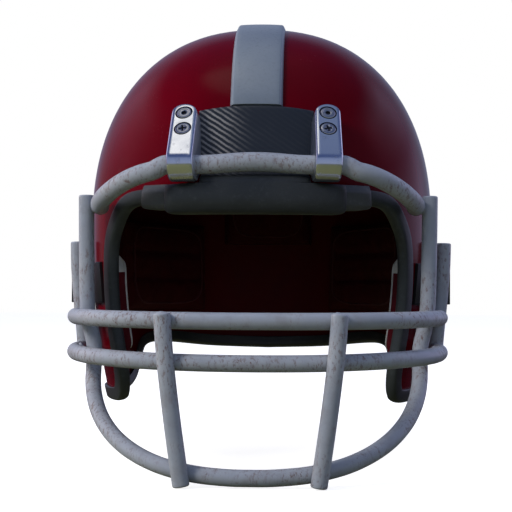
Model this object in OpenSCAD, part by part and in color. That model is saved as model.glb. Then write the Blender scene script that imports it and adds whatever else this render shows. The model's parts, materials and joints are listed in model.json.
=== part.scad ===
// Football helmet: a moulded shell with edge trim, centre stripe, brow bumper and padding,
// and a round-bar face guard that swings forward on two brow brackets.
// Millimetres, +Z up, the face looks along -Y, z = 0 at the lowest bar of the guard.

/* [Shell] */
// Width of the shell, outside
shell_w = 239; // [225:1:250]
// From the widest plane of the shell to its front
shell_front = 140; // [132:1:146]
// From the widest plane of the shell to its back
shell_back = 152; // [144:1:162]
// Height of the crown above the widest level
shell_rise = 140; // [130:1:150]
// Depth of the form that carries the wall below the widest level
shell_drop = 259; // [235:1:290]
// Height of the widest level above the ground
shell_level = 158.5; // [154:0.5:163]
// Thickness of the shell wall
wall = 4; // [3:0.25:5]
// Squareness of the shell in plan, 2 is an ellipse
plan_power = 2.3; // [2.2:0.05:2.4]
// Fullness of the crown, 2 is an ellipse
crown_power = 2.28; // [2.15:0.01:2.4]
// Diameter of the ear holes
ear_hole_d = 30; // [24:1:34]

/* [Openings of the shell] */
// Height of the brow edge
brow_z = 170; // [167:0.5:172]
// Azimuth of the cheek edges, from straight ahead
cheek_a = 46.4; // [44:0.2:49]
// Height of the lowest edge of the shell
skirt_z = 42; // [38:1:48]
// Height of the edge at the nape
nape_z = 70.5; // [66:0.5:76]

/* [Edge trim and stripe] */
// Length of the trim's lips over the shell
trim_lap = 7.5; // [6:0.25:8.5]
// Thickness of the trim's lips
trim_t = 1.6; // [1.2:0.1:2]
// Free fit between the shell and what lies on it
seat_gap = 0.3; // [0.25:0.05:0.4]
// Width of the centre stripe
stripe_w = 33; // [24:1:38]
// Height of the stripe above the shell
stripe_h = 3.6; // [2:0.2:4.4]

/* [Brow bumper] */
// Width of the rubber roll under the brow bar
roll_w = 105; // [98:1:112]
// Depth of the roll in front of the shell
roll_t = 13; // [11:0.5:14]
// Depth of the roll below the brow edge
roll_drop = 10; // [8:0.5:13]
// Width of the woven panel between the brackets
panel_w = 62; // [56:1:62]
// Top of the woven panel
panel_top = 228; // [221:1:229]
// Thickness of the woven panel
panel_t = 2.4; // [1.6:0.2:3]
// Width of the sleeve round the brow edge
sleeve_w = 141; // [130:1:150]

/* [Face guard] */
// Diameter of the guard's bars
bar_d = 10; // [9.2:0.2:10.4]
// Diameter of the brow bar
brow_bar_d = 11.8; // [11:0.2:12.4]
// Depth of the welds where two bars cross
weld = 1.8; // [1.4:0.1:2.2]
// Height of the brow bar
brow_bar_z = 190; // [188:0.5:192]
// From the shell's front to the middle of the brow bar
brow_bar_out = 9; // [8:0.5:14]
// Half width between the bends of the brow bar
brow_bend_x = 57; // [56:0.5:60]
// How far the jaw bar's tops stand inside the sides of the cross bars
jaw_tuck = 8.8; // [8:0.1:10]
// Height of the jaw bar's cut tops
jaw_top_z = 175; // [170:1:180]
// From the shell's front back to the jaw bar's sides
jaw_side_back = 40; // [37:0.5:42]
// From the shell's front to the middle of the jaw bar
jaw_out = 49.5; // [44:0.5:52]
// Height of the middle of the jaw bar
jaw_z = 5.7; // [5.4:0.1:8]
// From the shell's side to the cross bars' ends, level with the side clips
cross_side_out = 6.5; // [6:0.25:8]
// From the shell's front to the middle of the cross bars
cross_out = 50; // [46:0.5:54]
// Height of the upper cross bar
upper_z = 95.5; // [92:0.5:98]
// Height of the lower cross bar
lower_z = 71.2; // [68:0.2:75]
// Half distance of the uprights at their top
upright_top_x = 51; // [46:0.5:56]
// Half distance of the uprights at their bottom
upright_foot_x = 39.2; // [34:0.5:44]
// Height of the rear posts' tops
post_top_z = 147; // [140:1:152]
// From the shell's widest plane forward to the rear posts
post_y = 50; // [46:0.5:54]

/* [Brackets and clips] */
// Half distance of the brow brackets
bracket_x = 43.5; // [42.5:0.5:46]
// Width of a brow bracket
bracket_w = 16.5; // [14:0.5:18]
// Angle that a bracket turns outwards
bracket_turn = 10; // [8:0.5:14]
// Outer radius of a bracket's loop
loop_r = 10.5; // [10.5:0.1:11]
// Free fit of the brow bar in the loops, on the radius
hinge_gap = 0.2; // [0.15:0.05:0.3]
// Angle that a bracket's face leans back
face_tilt = 38; // [34:1:40]
// Height of the brackets' upper rivets
rivet_z = 224; // [222:0.5:226]
// Height of the brackets' screws
screw_z = 213.8; // [211:0.2:214]
// Diameter of the screw and rivet heads
head_d = 10.6; // [9:0.2:11]
// Height of the side clips' middle
clip_z = 119; // [116:0.5:122]
// Height of a side clip from top to bottom
clip_h = 27; // [22:1:29]
// Thickness of a side clip's plate
clip_t = 4; // [3:0.25:4.5]

/* [Chin strap studs] */
// Diameter of a stud's cap
stud_d = 12; // [10:0.5:14]
// Height of a stud above the shell
stud_h = 6; // [5:0.5:7]

/* [Hidden] */

left = -1;
right = 1;
half_w = shell_w / 2;
bar_r = bar_d / 2;
brow_bar_r = brow_bar_d / 2;
// The guard's reach, measured forward from the shell's widest plane, and its half widths
brow_bar_reach = shell_front + brow_bar_out;
jaw_side_y = shell_front - jaw_side_back;
jaw_reach = shell_front + jaw_out;
cross_reach = shell_front + cross_out;
cross_x = side_at(-post_y, clip_z) + cross_side_out;
jaw_top_x = cross_x - jaw_tuck;
// Plan of the cross bars: how far forward of the shell's widest plane they run at x
cross_power = 2.8;
function cross_at(x) =
    post_y + (cross_reach - post_y) * pow(1 - power(x / cross_x, cross_power), 1 / cross_power);
// Half distance of the uprights at the height z
upright_top_z = upper_z + bar_r - 0.5;
upright_curve = 1.3;
function upright_x(z) =
    upright_top_x - (upright_top_x - upright_foot_x) * pow(1 - z / upright_top_z, upright_curve);
// The uprights stand in front of the cross bars and reach furthest forward
upright_out = bar_d - weld;
guard_front = cross_at(upright_x(lower_z)) + upright_out + bar_r;
// The widest plane of the shell, placed so that the whole helmet lies even about y = 0
centre_y = (guard_front - shell_back - stripe_h) / 2;
centre = [0, centre_y, shell_level];

// The form of the shell
function power(v, p) = pow(abs(v), p);
function depth_at(y) = y < 0 ? shell_front : shell_back;
function drop_at(z) = z < 0 ? shell_drop : shell_rise;
function power_at(z) = z < 0 ? 2 : crown_power;
// Distance from the centre to the outside of the shell along the direction d
function reach(d) =
    let (u = d / norm(d), m = power_at(u[2]))
    let (plan = power(u[0] / half_w, plan_power) + power(u[1] / depth_at(u[1]), plan_power))
    pow(pow(plan, m / plan_power) + power(u[2] / drop_at(u[2]), m), -1 / m);
// Outward direction of the form at p, which is measured from the centre
function outward(p) =
    let (m = power_at(p[2]), b = depth_at(p[1]), n = plan_power)
    let (plan = max(power(p[0] / half_w, n) + power(p[1] / b, n), 0.000001))
    let (k = pow(plan, m / n - 1))
    let (g = [k * power(p[0] / half_w, n - 1) * sign(p[0]) / half_w,
              k * power(p[1] / b, n - 1) * sign(p[1]) / b,
              power(p[2] / drop_at(p[2]), m - 1) * sign(p[2]) / drop_at(p[2])])
    g / norm(g);
// The point at a height off above the shell, along the direction d from the centre
function skin(d, off) = let (p = d * reach(d) / norm(d)) centre + p + off * outward(p);
// The direction to azimuth a, counted from straight ahead, at the height z of the shell
function toward(a, z) =
    let (h = z - shell_level, m = power_at(h), b = cos(a) > 0 ? shell_front : shell_back)
    let (k = pow(1 - power(h / drop_at(h), m), 1 / m))
    let (r = k / pow(power(sin(a) / half_w, plan_power) + power(cos(a) / b, plan_power), 1 / plan_power))
    [r * sin(a), -r * cos(a), h];
// The direction to the distance x beside the middle plane, tilt degrees up from straight ahead
function over(x, tilt) =
    let (d = [0, -cos(tilt), sin(tilt)])
    [x / reach(d), d[1], d[2]];
// Half width of the shell's outside at the height z, v behind its widest plane or at y
function side_at(v, z) =
    let (h = z - shell_level, m = power_at(h))
    let (k = pow(1 - power(h / drop_at(h), m), plan_power / m) - power(v / depth_at(v), plan_power))
    half_w * pow(k, 1 / plan_power);
function side_x(y, z) = side_at(y - centre_y, z);

// A smooth line through the points p, with n steps between two of them
function curve(p, n) =
    let (last = len(p) - 1)
    [for (i = [0:last - 1], j = [0:(i == last - 1 ? n : n - 1)])
        let (t = j / n, a = p[max(i - 1, 0)], b = p[i], c = p[i + 1], d = p[min(i + 2, last)])
        b + 0.5 * t * (c - a + t * (2 * a - 5 * b + 4 * c - d + t * (3 * (b - c) + d - a)))];
function backwards(p) = [for (i = [len(p) - 1:-1:0]) p[i]];
function unit(v) = v / norm(v);

// Rings of points joined to a closed solid, with flat ends or joined end to end.
// Where the two halves of a ring are paired, its ends are strips between them.
module lofted(rings, closed = false, paired = false) {
    n = len(rings[0]);
    rows = len(rings);
    last = closed ? rows - 1 : rows - 2;
    sides = [for (i = [0:last], j = [0:n - 1])
        let (k = (i + 1) % rows, m = (j + 1) % n)
        for (f = [[i * n + j, i * n + m, k * n + m], [i * n + j, k * n + m, k * n + j]]) f];
    far = (rows - 1) * n;
    flat = [[for (j = [n - 1:-1:0]) j], [for (j = [0:n - 1]) far + j]];
    strips = [for (j = [0:n / 2 - 2])
        let (a = j, b = j + 1, c = n - 2 - j, d = n - 1 - j)
        for (f = [[b, a, d], [b, d, c], [far + a, far + b, far + c], [far + a, far + c, far + d]]) f];
    ends = closed ? [] : paired ? strips : flat;
    polyhedron([for (r = rings) each r], concat(sides, ends), convexity = 10);
}

// The edge of the shell, as azimuth and height, from the brow round to the nape
corner_r = 9;
brow_dip = 0.5;
edge_side = curve([
    [0, brow_z], [16, brow_z], [30, brow_z - brow_dip], [37, brow_z - 3], [41, brow_z - 11],
    [cheek_a - 1.7, brow_z - 25], [cheek_a - 0.2, brow_z - 45], [cheek_a + 0.2, brow_z - 75],
    [cheek_a - 0.6, skirt_z + 28], [cheek_a, skirt_z + corner_r + 4], [cheek_a + 2.4, skirt_z + 3.5],
    [cheek_a + 7, skirt_z], [72, skirt_z], [92, skirt_z], [109, skirt_z + 1],
    [117, skirt_z + 5], [122, skirt_z + 12], [126, nape_z - 6], [130, nape_z + 2],
    [137, nape_z + 5.5], [146, nape_z + 5], [162, nape_z + 1.5], [180, nape_z]], 2);
edge_line = concat(edge_side,
    [for (p = backwards([for (i = [1:len(edge_side) - 2]) edge_side[i]])) [-p[0], p[1]]]);
edge = [for (p = edge_line) toward(p[0], p[1])];

// The wall between two heights off the shell, over the whole of it down to the edge
pole_tilt = 112;
fan_steps = 17;
module dome(outer, inner) {
    n = len(edge);
    pole = [0, -cos(pole_tilt), sin(pole_tilt)];
    // directions that divide the arc from the pole to the edge
    grid = [for (s = [1:fan_steps], e = edge)
        let (u = unit(e), w = acos(pole * u), t = s / fan_steps)
        (pole * sin((1 - t) * w) + u * sin(t * w)) / sin(w)];
    count = n * fan_steps;
    points = concat([for (d = grid) skin(d, outer)], [skin(pole, outer)],
                    [for (d = grid) skin(d, inner)], [skin(pole, inner)]);
    under = count + 1;
    cap = [for (j = [0:n - 1]) let (k = (j + 1) % n)
        for (f = [[count, k, j], [under + count, under + j, under + k]]) f];
    // each quad is split along its shorter diagonal
    walls = [for (i = [0:fan_steps - 2], j = [0:n - 1])
        let (k = (j + 1) % n, a = i * n + j, b = i * n + k, c = a + n, d = b + n)
        let (slant = norm(points[a] - points[d]) < norm(points[b] - points[c]))
        for (t = slant ? [[a, b, d], [a, d, c]] : [[a, b, c], [b, d, c]])
            for (f = [t, [under + t[0], under + t[2], under + t[1]]]) f];
    rim = [for (j = [0:n - 1])
        let (k = (j + 1) % n, a = (fan_steps - 1) * n + j, b = (fan_steps - 1) * n + k)
        for (f = [[a, b, under + b], [a, under + b, under + a]]) f];
    polyhedron(points, concat(cap, walls, rim), convexity = 10);
}

// Where the pieces that pass through the shell stand, and which way they point
function seat(side, x, z) = [side * x, -side_depth(x, z), z];
function side_depth(x, z) =
    let (h = z - shell_level, m = power_at(h))
    let (k = pow(1 - power(h / drop_at(h), m), plan_power / m) - power(x / half_w, plan_power))
    shell_front * pow(k, 1 / plan_power) - centre_y;
module on_shell(p) {
    n = outward(p - centre);
    translate(p) rotate([0, acos(n[2]), atan2(n[1], n[0])]) children();
}
bracket_seat_z = (rivet_z + screw_z) / 2;
loop_y = centre_y - brow_bar_reach;
// Outward direction of a bracket's face, and the point of the face at the height z
function face_way(side) =
    [side * sin(bracket_turn) * cos(face_tilt), -cos(bracket_turn) * cos(face_tilt), sin(face_tilt)];
function face_point(side, z) =
    let (n = face_way(side))
    [side * bracket_x, loop_y + (loop_r - (z - brow_bar_z) * n[2]) / n[1], z];
module on_face(side, z) {
    n = face_way(side);
    translate(face_point(side, z)) rotate([0, acos(n[2]), atan2(n[1], n[0])]) children();
}
clip_screw_y = centre_y - 22;
ear_y = centre_y + 8;
ear_z = 112;
// The studs' distance behind the shell's widest plane, and their height
stud_places = [[35, ear_z + 6], [-12, ear_z - 38]];
module ear_holes() {
    for (side = [left, right])
        translate([0, ear_y, ear_z]) rotate([0, side * 90, 0])
            cylinder(d = ear_hole_d, h = half_w + 10, $fn = 48);
}

shank_d = 5;
shank_gap = 0.2;
hole_depth = 30;
module shell() {
    color("firebrick")
    difference() {
        dome(0, -wall);
        ear_holes();
        for (side = [left, right]) {
            for (z = [rivet_z, screw_z])
                on_face(side, z) shank_hole();
            on_shell([side * side_x(clip_screw_y, clip_z), clip_screw_y, clip_z]) shank_hole();
            for (s = stud_places)
                on_shell([side * side_x(centre_y + s[0], s[1]), centre_y + s[0], s[1]]) shank_hole();
        }
    }
}
module shank_hole() {
    translate([0, 0, -hole_depth]) cylinder(d = shank_d + 2 * shank_gap, h = 2 * hole_depth, $fn = 32);
}

// Trim: a channel that grips the edge of the wall all round
trim_nose = 2;
module edge_trim() {
    g = seat_gap;
    under = -wall - g;
    section = [[-trim_lap, g], [-trim_lap + 0.5, g + trim_t], [trim_nose - 0.8, g + trim_t],
        [trim_nose, -wall / 2], [trim_nose - 0.8, under - trim_t], [-trim_lap + 1.5, under - trim_t],
        [-trim_lap + 1, under], [g, under], [g, g]];
    line = [for (e = edge) skin(e, 0)];
    n = len(edge);
    color("dimgray")
    lofted([for (i = [0:n - 1])
        let (up = outward(line[i] - centre), along = unit(line[(i + 1) % n] - line[(i + n - 1) % n]))
        let (out = unit(cross(along, up)))
        [for (s = backwards(section)) skin(line[i] + s[0] * out - centre, s[1])]], closed = true);
}

// Stripe: a raised band from the brow panel over the crown to the nape
stripe_bevel = 2.2;
stripe_steps = 34;
function stripe_front_tilt() = atan((panel_top + 2 - shell_level) / (shell_front - 12));
stripe_end_tilt = 204;
module centre_stripe() {
    w = stripe_w / 2;
    section = [[-w, seat_gap], [-w + stripe_bevel, stripe_h], [-w / 3, stripe_h], [w / 3, stripe_h],
        [w - stripe_bevel, stripe_h], [w, seat_gap], [w / 3, seat_gap], [-w / 3, seat_gap]];
    start = stripe_front_tilt();
    color("lightslategray")
    lofted([for (i = [0:stripe_steps])
        let (tilt = start + (stripe_end_tilt - start) * i / stripe_steps)
        [for (s = backwards(section)) skin(over(s[0], tilt), s[1])]]);
}

// A band bent round the brow: profile rows are [height off the shell, z, half width].
// Towards its ends it grows thinner down to base, and rises from below ease_z.
band_steps = [for (i = [-9:9]) sin(10 * i)];
function end_ease(s) = pow(1 - pow(abs(s), 14), 0.5);
module brow_band(profile, base, ease_z, paired = false) {
    lofted([for (s = band_steps)
        [for (r = profile)
            let (a = -s * asin(r[2] / shell_front), k = 0.35 + 0.65 * end_ease(s))
            let (z = r[1] < ease_z ? ease_z + (r[1] - ease_z) * k : r[1])
            skin(toward(a, z), r[0] > base ? base + (r[0] - base) * k : r[0])]], paired = paired);
}

// Sleeve: rubber folded round the brow edge, over the trim
sleeve_t = 2.4;
sleeve_fold = 0.6;
sleeve_gap = 0.8;
over_trim = seat_gap + trim_t + sleeve_gap;
sleeve_low = brow_z - brow_dip - trim_nose - sleeve_gap;
sleeve_top = brow_z + trim_lap + 2;
module brow_sleeve() {
    w = sleeve_w / 2;
    inner = -wall - over_trim;
    fold = sleeve_low - sleeve_t - sleeve_fold;
    inside_top = brow_z + 3;
    color("darkslategray")
    brow_band([[seat_gap, sleeve_top, w], [seat_gap + sleeve_t / 2, sleeve_top, w],
        [over_trim + sleeve_t, brow_z + trim_lap - 3, w], [over_trim + sleeve_t, sleeve_low - 0.5, w],
        [over_trim, fold, w], [inner, fold, w], [inner - sleeve_t, sleeve_low, w],
        [inner - sleeve_t, inside_top, w], [inner, inside_top, w], [inner, sleeve_low, w],
        [over_trim, sleeve_low, w], [over_trim, sleeve_top - 1.2, w],
        [seat_gap, sleeve_top - 0.6, w]],
        over_trim, sleeve_low);
}

// Bumper: the woven panel between the brackets and the roll under the brow bar, in one piece
roll_gap = 1.1;
panel_bands = 3;
panel_flare = 4.4;
module front_bumper() {
    w = roll_w / 2;
    p = panel_w / 2;
    face = seat_gap + panel_t;
    back = over_trim + sleeve_t + seat_gap;
    neck_z = brow_bar_z - brow_bar_r - roll_gap;
    roll_top_z = brow_bar_z - loop_r - roll_gap;
    low = brow_z - roll_drop;
    floor_z = sleeve_low - sleeve_t - sleeve_fold - 2 * seat_gap;
    lip_z = sleeve_top + 2 * seat_gap;
    shoulder_z = panel_top - 3;
    waist_z = neck_z + 4.5;
    heights = [for (i = [0:panel_bands]) shoulder_z + (waist_z - shoulder_z) * i / panel_bands];
    // the panel's sides stand upright although the shell narrows towards the crown
    function beside(z) = p + panel_flare * (z - waist_z) / (panel_top - waist_z);
    // the front and the back from the top down, row beside row
    front = concat([[face - 1, panel_top, p + panel_flare]],
        [for (z = heights) [face, z, beside(z)]],
        [[back + 1.9, neck_z, p], [roll_t - 2.5, neck_z - 0.6, p], [roll_t - 0.2, neck_z - 3, p],
         [roll_t, roll_top_z, p], [roll_t - 1, roll_top_z - 1, w], [roll_t, roll_top_z - 5.4, w],
         [roll_t - 0.8, low + 6, w], [roll_t - 3.6, low + 1.8, w], [roll_t - 8, low, w],
         [-2, low + 0.6, w]]);
    rear = concat([[seat_gap, panel_top, p + panel_flare]],
        [for (z = heights) [seat_gap, z, beside(z)]],
        [[seat_gap, lip_z + 2.5, p], [back, roll_top_z + 1.5, p], [back, roll_top_z + 0.8, p],
         [back, roll_top_z, p], [back, roll_top_z - 1, w], [back, roll_top_z - 5.4, w],
         [back, low + 6, w], [back, floor_z, w], [back - 3, floor_z, w],
         [-4, floor_z, w]]);
    color([0.18, 0.2, 0.23]) brow_band(concat(front, backwards(rear)), back, floor_z, paired = true);
}

// The wall is made of flat facets, which stand in a little from the true form: nuts, washers
// and pads keep clear of them
nut_gap = 0.8;
pad_gap = 1.2;
// Cushion: a crowned pad on the inside of the shell, thickest in the middle, with sewn channels
pad_lay = -wall - pad_gap;
pad_edge = 0.3;
function crowned(u) = pad_edge + (1 - pad_edge) * pow(1 - pow(abs(u), 4), 0.5);
function sewn(v, channels) = min([1, for (c = channels) 0.68 + 2.2 * abs(v - c)]);
module cushion(dirs, t, channels = []) {
    n = len(dirs) - 1;
    m = len(dirs[0]) - 1;
    across = m + 1;
    under = (n + 1) * across;
    // the face is drawn in from the back at its rim
    function at(i, j) = let (u = 2 * i / n - 1, v = 2 * j / m - 1)
        pad_lay - t * crowned(u) * crowned(v) * sewn(v, channels);
    points = concat([for (i = [0:n], j = [0:m]) skin(dirs[i][j], pad_lay)],
                    [for (i = [0:n], j = [0:m]) skin(dirs[i][j], at(i, j))]);
    quads = [for (i = [0:n - 1], j = [0:m - 1])
        let (a = i * across + j, b = a + 1, c = a + across, d = c + 1)
        for (f = [[a, b, d], [a, d, c], [under + a, under + d, under + b],
                  [under + a, under + c, under + d]]) f];
    rim = concat([for (j = [0:m]) j], [for (i = [1:n]) i * across + m],
                 [for (j = [m - 1:-1:0]) n * across + j], [for (i = [n - 1:-1:1]) i * across]);
    sides = [for (k = [0:len(rim) - 1]) let (a = rim[k], b = rim[(k + 1) % len(rim)])
        for (f = [[a, under + b, b], [a, under + a, under + b]]) f];
    polyhedron(points, concat(quads, sides), convexity = 6);
}
// Evenly spread values from a to b, closer together at both ends
function spread(a, b, n) = [for (i = [0:n]) a + (b - a) * (0.5 - 0.5 * cos(180 * i / n)) ];
// Directions over a patch of azimuths and heights
function wall_patch(a0, a1, z0, z1, n, m, side = 1) =
    let (as = side > 0 ? spread(a0, a1, n) : spread(-a1, -a0, n))
    [for (a = as) [for (z = spread(z0, z1, m)) toward(a, z)]];
// Directions over a patch of the crown
function crown_patch(w, t0, t1, n, m) =
    [for (x = spread(-w, w, n)) [for (t = spread(t0, t1, m)) over(x, t)]];

forehead_t = 14;
forehead_a = 34;
forehead_rise = 10;
forehead_h = 42;
pocket_room = 1.5;
module forehead_pad() {
    low = brow_z + forehead_rise;
    depth = nut_t + pad_gap + forehead_t;
    color("dimgray")
    difference() {
        cushion(wall_patch(-forehead_a, forehead_a, low, low + forehead_h, 9, 6), forehead_t);
        // pockets over the nuts of the brackets
        for (side = [left, right], z = [rivet_z, screw_z])
            on_face(side, z) translate([0, 0, -behind_face(side, z) - nut_out - nut_t - pocket_room])
                cylinder(d = nut_d + 2 * pad_gap, h = depth, $fn = 32);
    }
}
crown_t = 18;
crown_half = 52;
crown_tilts = [52, 130];
module crown_pad() {
    color("dimgray")
    cushion(crown_patch(crown_half, crown_tilts[0], crown_tilts[1], 8, 12), crown_t, [-0.35, 0.35]);
}
back_t = 15;
back_half = 38;
back_tilts = [139, 182];
module back_pad() {
    color("dimgray") cushion(crown_patch(back_half, back_tilts[0], back_tilts[1], 8, 8), back_t, [0]);
}
temple_t = 11;
temple_a = [60, 100];
module temple_pad(side) {
    color("dimgray")
    cushion(wall_patch(temple_a[0], temple_a[1], brow_z - 28, brow_z + 36, 7, 9, side), temple_t, [0]);
}
module left_temple_pad() {
    temple_pad(left);
}
module right_temple_pad() {
    temple_pad(right);
}
side_t = 15;
side_a = [111, 158];
module side_pad(side) {
    color("dimgray")
    cushion(wall_patch(side_a[0], side_a[1], skirt_z + 57, brow_z - 2, 10, 9, side), side_t, [-0.3, 0.3]);
}
module left_side_pad() {
    side_pad(left);
}
module right_side_pad() {
    side_pad(right);
}
jaw_t = 13.5;
jaw_back_a = 74;
jaw_low = 26;
jaw_under = 32;
module jaw_pad(side) {
    color("maroon")
    cushion(wall_patch(cheek_a + 5, jaw_back_a, skirt_z + jaw_low, brow_z - jaw_under, 7, 10, side),
        jaw_t, [0.35]);
}
module left_jaw_pad() {
    jaw_pad(left);
}
module right_jaw_pad() {
    jaw_pad(right);
}

// Guard: bars along lines of points, each ring square to its line
bar_sides = 16;
function along_line(p, i) = unit(p[min(i + 1, len(p) - 1)] - p[max(i - 1, 0)]);
module bar(line, r, up = [0, 0, 1]) {
    lofted([for (i = [0:len(line) - 1])
        let (t = along_line(line, i), s = unit(cross(t, up)), v = cross(s, t))
        [for (k = [0:bar_sides - 1])
            let (w = 360 * (k + 0.5) / bar_sides)
            line[i] + r * cos(w) * s + r * sin(w) * v]]);
}
function mirrored(p) = [for (q = p) [-q[0], q[1], q[2]]];
// Both halves of a symmetric line whose right half starts on the middle plane
function whole(p) = concat(backwards(mirrored([for (i = [1:len(p) - 1]) p[i]])), p);

// Cross bars: one broad bow round the face, bent back to the rear posts
cross_angles = [0, 6, 13, 21, 30, 39, 48, 57, 66, 75, 83];
module cross_bar(z, lift) {
    half = [for (a = cross_angles)
        let (x = cross_x * pow(sin(a), 2 / cross_power))
        [x, centre_y - cross_at(x), z + lift * power(x / cross_x, 2)]];
    tip = [cross_x, centre_y - post_y - bar_r + weld / 2, z + lift];
    color("silver") bar(whole(concat(half, [tip])), bar_r);
}
upper_lift = 1.5;
lower_lift = 3.5;
module upper_bar() {
    cross_bar(upper_z, upper_lift);
}
module lower_bar() {
    cross_bar(lower_z, lower_lift);
}

// Jaw bar: down both cheeks and round under the chin
jaw_power = 2.44;
jaw_bow = 2.15;
jaw_knee = 71;
jaw_low_x = jaw_top_x - 6.4;
jaw_angles = [5, 14, 24, 33, 42, 51, 60, 68, 75, 81, 86];
// How far forward of the shell's widest plane the jaw bar runs at x, and how high
function jaw_at(x) =
    jaw_side_y + (jaw_reach - jaw_side_y) * pow(1 - power(x / jaw_low_x, jaw_bow), 1 / 1.9);
function jaw_curve(a) =
    let (x = jaw_low_x * pow(sin(a), 2 / jaw_power))
    [x, centre_y - jaw_at(x), jaw_knee - (jaw_knee - jaw_z) * pow(cos(a), 2 / jaw_power)];
module jaw_bar() {
    side_y = centre_y - jaw_side_y;
    half = concat([jaw_curve(0)], [for (a = jaw_angles) jaw_curve(a)],
        [[jaw_low_x + 0.4, side_y, jaw_knee + 7], [jaw_top_x - 1.7, side_y, jaw_knee + 29],
         [jaw_top_x - 0.5, side_y, jaw_top_z - 38], [jaw_top_x, side_y, jaw_top_z]]);
    color("silver") bar(whole(half), bar_r, [0, 1, 0.4]);
}

// Brow bar: a straight round rod through the bracket loops, bent back at both ends
brow_drop = 22;
brow_fall = 1.3;
brow_end_y = jaw_side_y - 1;
brow_end_x = jaw_top_x - bar_r - brow_bar_r + weld;
brow_steps = 10;
module brow_bar() {
    y = centre_y - brow_bar_reach;
    inside = 1;
    bend = [for (i = [0:brow_steps])
        let (a = 90 * i / brow_steps)
        [brow_bend_x + (brow_end_x - brow_bend_x) * sin(a),
         y + (brow_bar_reach - brow_end_y) * (1 - cos(a)),
         brow_bar_z - brow_drop * pow(sin(a), brow_fall)]];
    color("silver")
    union() {
        translate([-brow_bend_x, y, brow_bar_z]) rotate([0, 90, 0])
            cylinder(r = brow_bar_r, h = 2 * brow_bend_x, $fn = 48);
        for (side = [left, right])
            bar([for (p = concat([[brow_bend_x - inside, y, brow_bar_z]], bend))
                    [side * p[0], p[1], p[2]]], brow_bar_r - 0.1);
    }
}

// Uprights: short rods on the front of both cross bars and of the jaw bar
upright_steps = 7;
// The feet's slanting ends just touch the ground
upright_foot_z = 0.8;
module upright(side) {
    low_y = centre_y - cross_at(upright_x(lower_z)) - upright_out;
    foot_y = centre_y - jaw_at(upright_foot_x) - upright_out;
    line = [for (i = [0:upright_steps])
        let (z = upright_foot_z + (upright_top_z - upright_foot_z) * (1 - i / upright_steps))
        let (x = upright_x(z))
        [side * x, z > lower_z ? centre_y - cross_at(x) - upright_out
                               : foot_y + (low_y - foot_y) * z / lower_z, z]];
    color("silver") bar(line, bar_r, [0, 1, 0]);
}
module left_upright() {
    upright(left);
}
module right_upright() {
    upright(right);
}

post_foot_z = 73;
// The rear posts lean out a little, rows are [beyond the cross bars, height]
post_line = [[-0.4, post_foot_z], [0.8, 88], [3.2, 112], [4.6, 130], [5.1, post_top_z]];
module side_post(side) {
    line = [for (p = post_line) [side * (cross_x + p[0]), centre_y - post_y, p[1]]];
    color("silver") bar(line, bar_r, [0, 1, 0]);
}
module left_side_post() {
    side_post(left);
}
module right_side_post() {
    side_post(right);
}

// Brackets: a block turned outwards whose foot loops round the brow bar
head_sunk = 0.8;
module bracket(side) {
    depth = 22;
    color("gainsboro")
    difference() {
        hull() {
            translate([side * bracket_x, loop_y, brow_bar_z])
                rotate([0, 0, side * bracket_turn])
                rotate([0, 90, 0]) cylinder(r = loop_r, h = bracket_w, center = true, $fn = 32);
            on_face(side, rivet_z) translate([0, 0, -depth]) cylinder(d = bracket_w, h = depth, $fn = 32);
        }
        // the back lies flat against the shell
        on_shell(seat(side, bracket_x, bracket_seat_z))
            translate([-40, -40, seat_gap - 40]) cube([80, 80, 40]);
        translate([side * bracket_x, loop_y, brow_bar_z]) rotate([0, 90, 0])
            cylinder(r = brow_bar_r + hinge_gap, h = 2 * bracket_w, center = true, $fn = 48);
        for (z = [rivet_z, screw_z])
            on_face(side, z) {
                shank_hole();
                translate([0, 0, -head_sunk]) cylinder(d = head_d + 2 * shank_gap, h = 5, $fn = 32);
            }
    }
}
module left_bracket() {
    bracket(left);
}
module right_bracket() {
    bracket(right);
}

// Depth of the shell's outside behind a bracket's face, along the fastener at the height z
function plane_depth(side, z, p) =
    let (s = outward(p - centre))
    ((face_point(side, z) - p) * s) / (face_way(side) * s);
function behind_face(side, z) =
    let (first = plane_depth(side, z, seat(side, bracket_x, bracket_seat_z)))
    plane_depth(side, z, skin(face_point(side, z) - first * face_way(side) - centre, 0));

// Fasteners of the brackets, square to their faces
head_t = 2.2;
nut_d = 9;
nut_t = 4;
// From the shell's outside to the nuts inside it, which lean a little against the wall
nut_lean = 3.2;
nut_out = wall + nut_gap + nut_lean;
shank_end = 0.8;
slot_w = 1.3;
slot_l = 6.4;
slot_depth = 1.4;
function shank_long(side, z) = behind_face(side, z) + nut_out + nut_t + shank_end;
module cross_slot(top) {
    for (w = [0, 90])
        rotate([0, 0, w]) translate([-slot_l / 2, -slot_w / 2, top - slot_depth]) cube([slot_l, slot_w, 4]);
}
module bracket_screws() {
    under = seat_gap - head_sunk;
    color("silver")
    for (side = [left, right])
        on_face(side, screw_z) difference() {
            union() {
                translate([0, 0, under]) cylinder(d = head_d, h = head_t, $fn = 32);
                translate([0, 0, -shank_long(side, screw_z)])
                    cylinder(d = shank_d, h = shank_long(side, screw_z), $fn = 32);
            }
            cross_slot(under + head_t);
        }
}
rivet_bore = 2.8;
module bracket_rivets() {
    under = seat_gap - head_sunk;
    color("silver")
    for (side = [left, right])
        let (end = -shank_long(side, rivet_z))
        on_face(side, rivet_z) rotate_extrude($fn = 32)
            polygon([[rivet_bore / 2, end], [shank_d / 2, end], [shank_d / 2, under], [head_d / 2, under],
                [head_d / 2, under + head_t - 0.7], [head_d / 2 - 0.8, under + head_t],
                [rivet_bore / 2, under + head_t]]);
}
module bracket_t_nuts() {
    color("dimgray")
    for (side = [left, right], z = [rivet_z, screw_z])
        on_face(side, z) translate([0, 0, -behind_face(side, z) - nut_out - nut_t]) nut();
}
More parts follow.
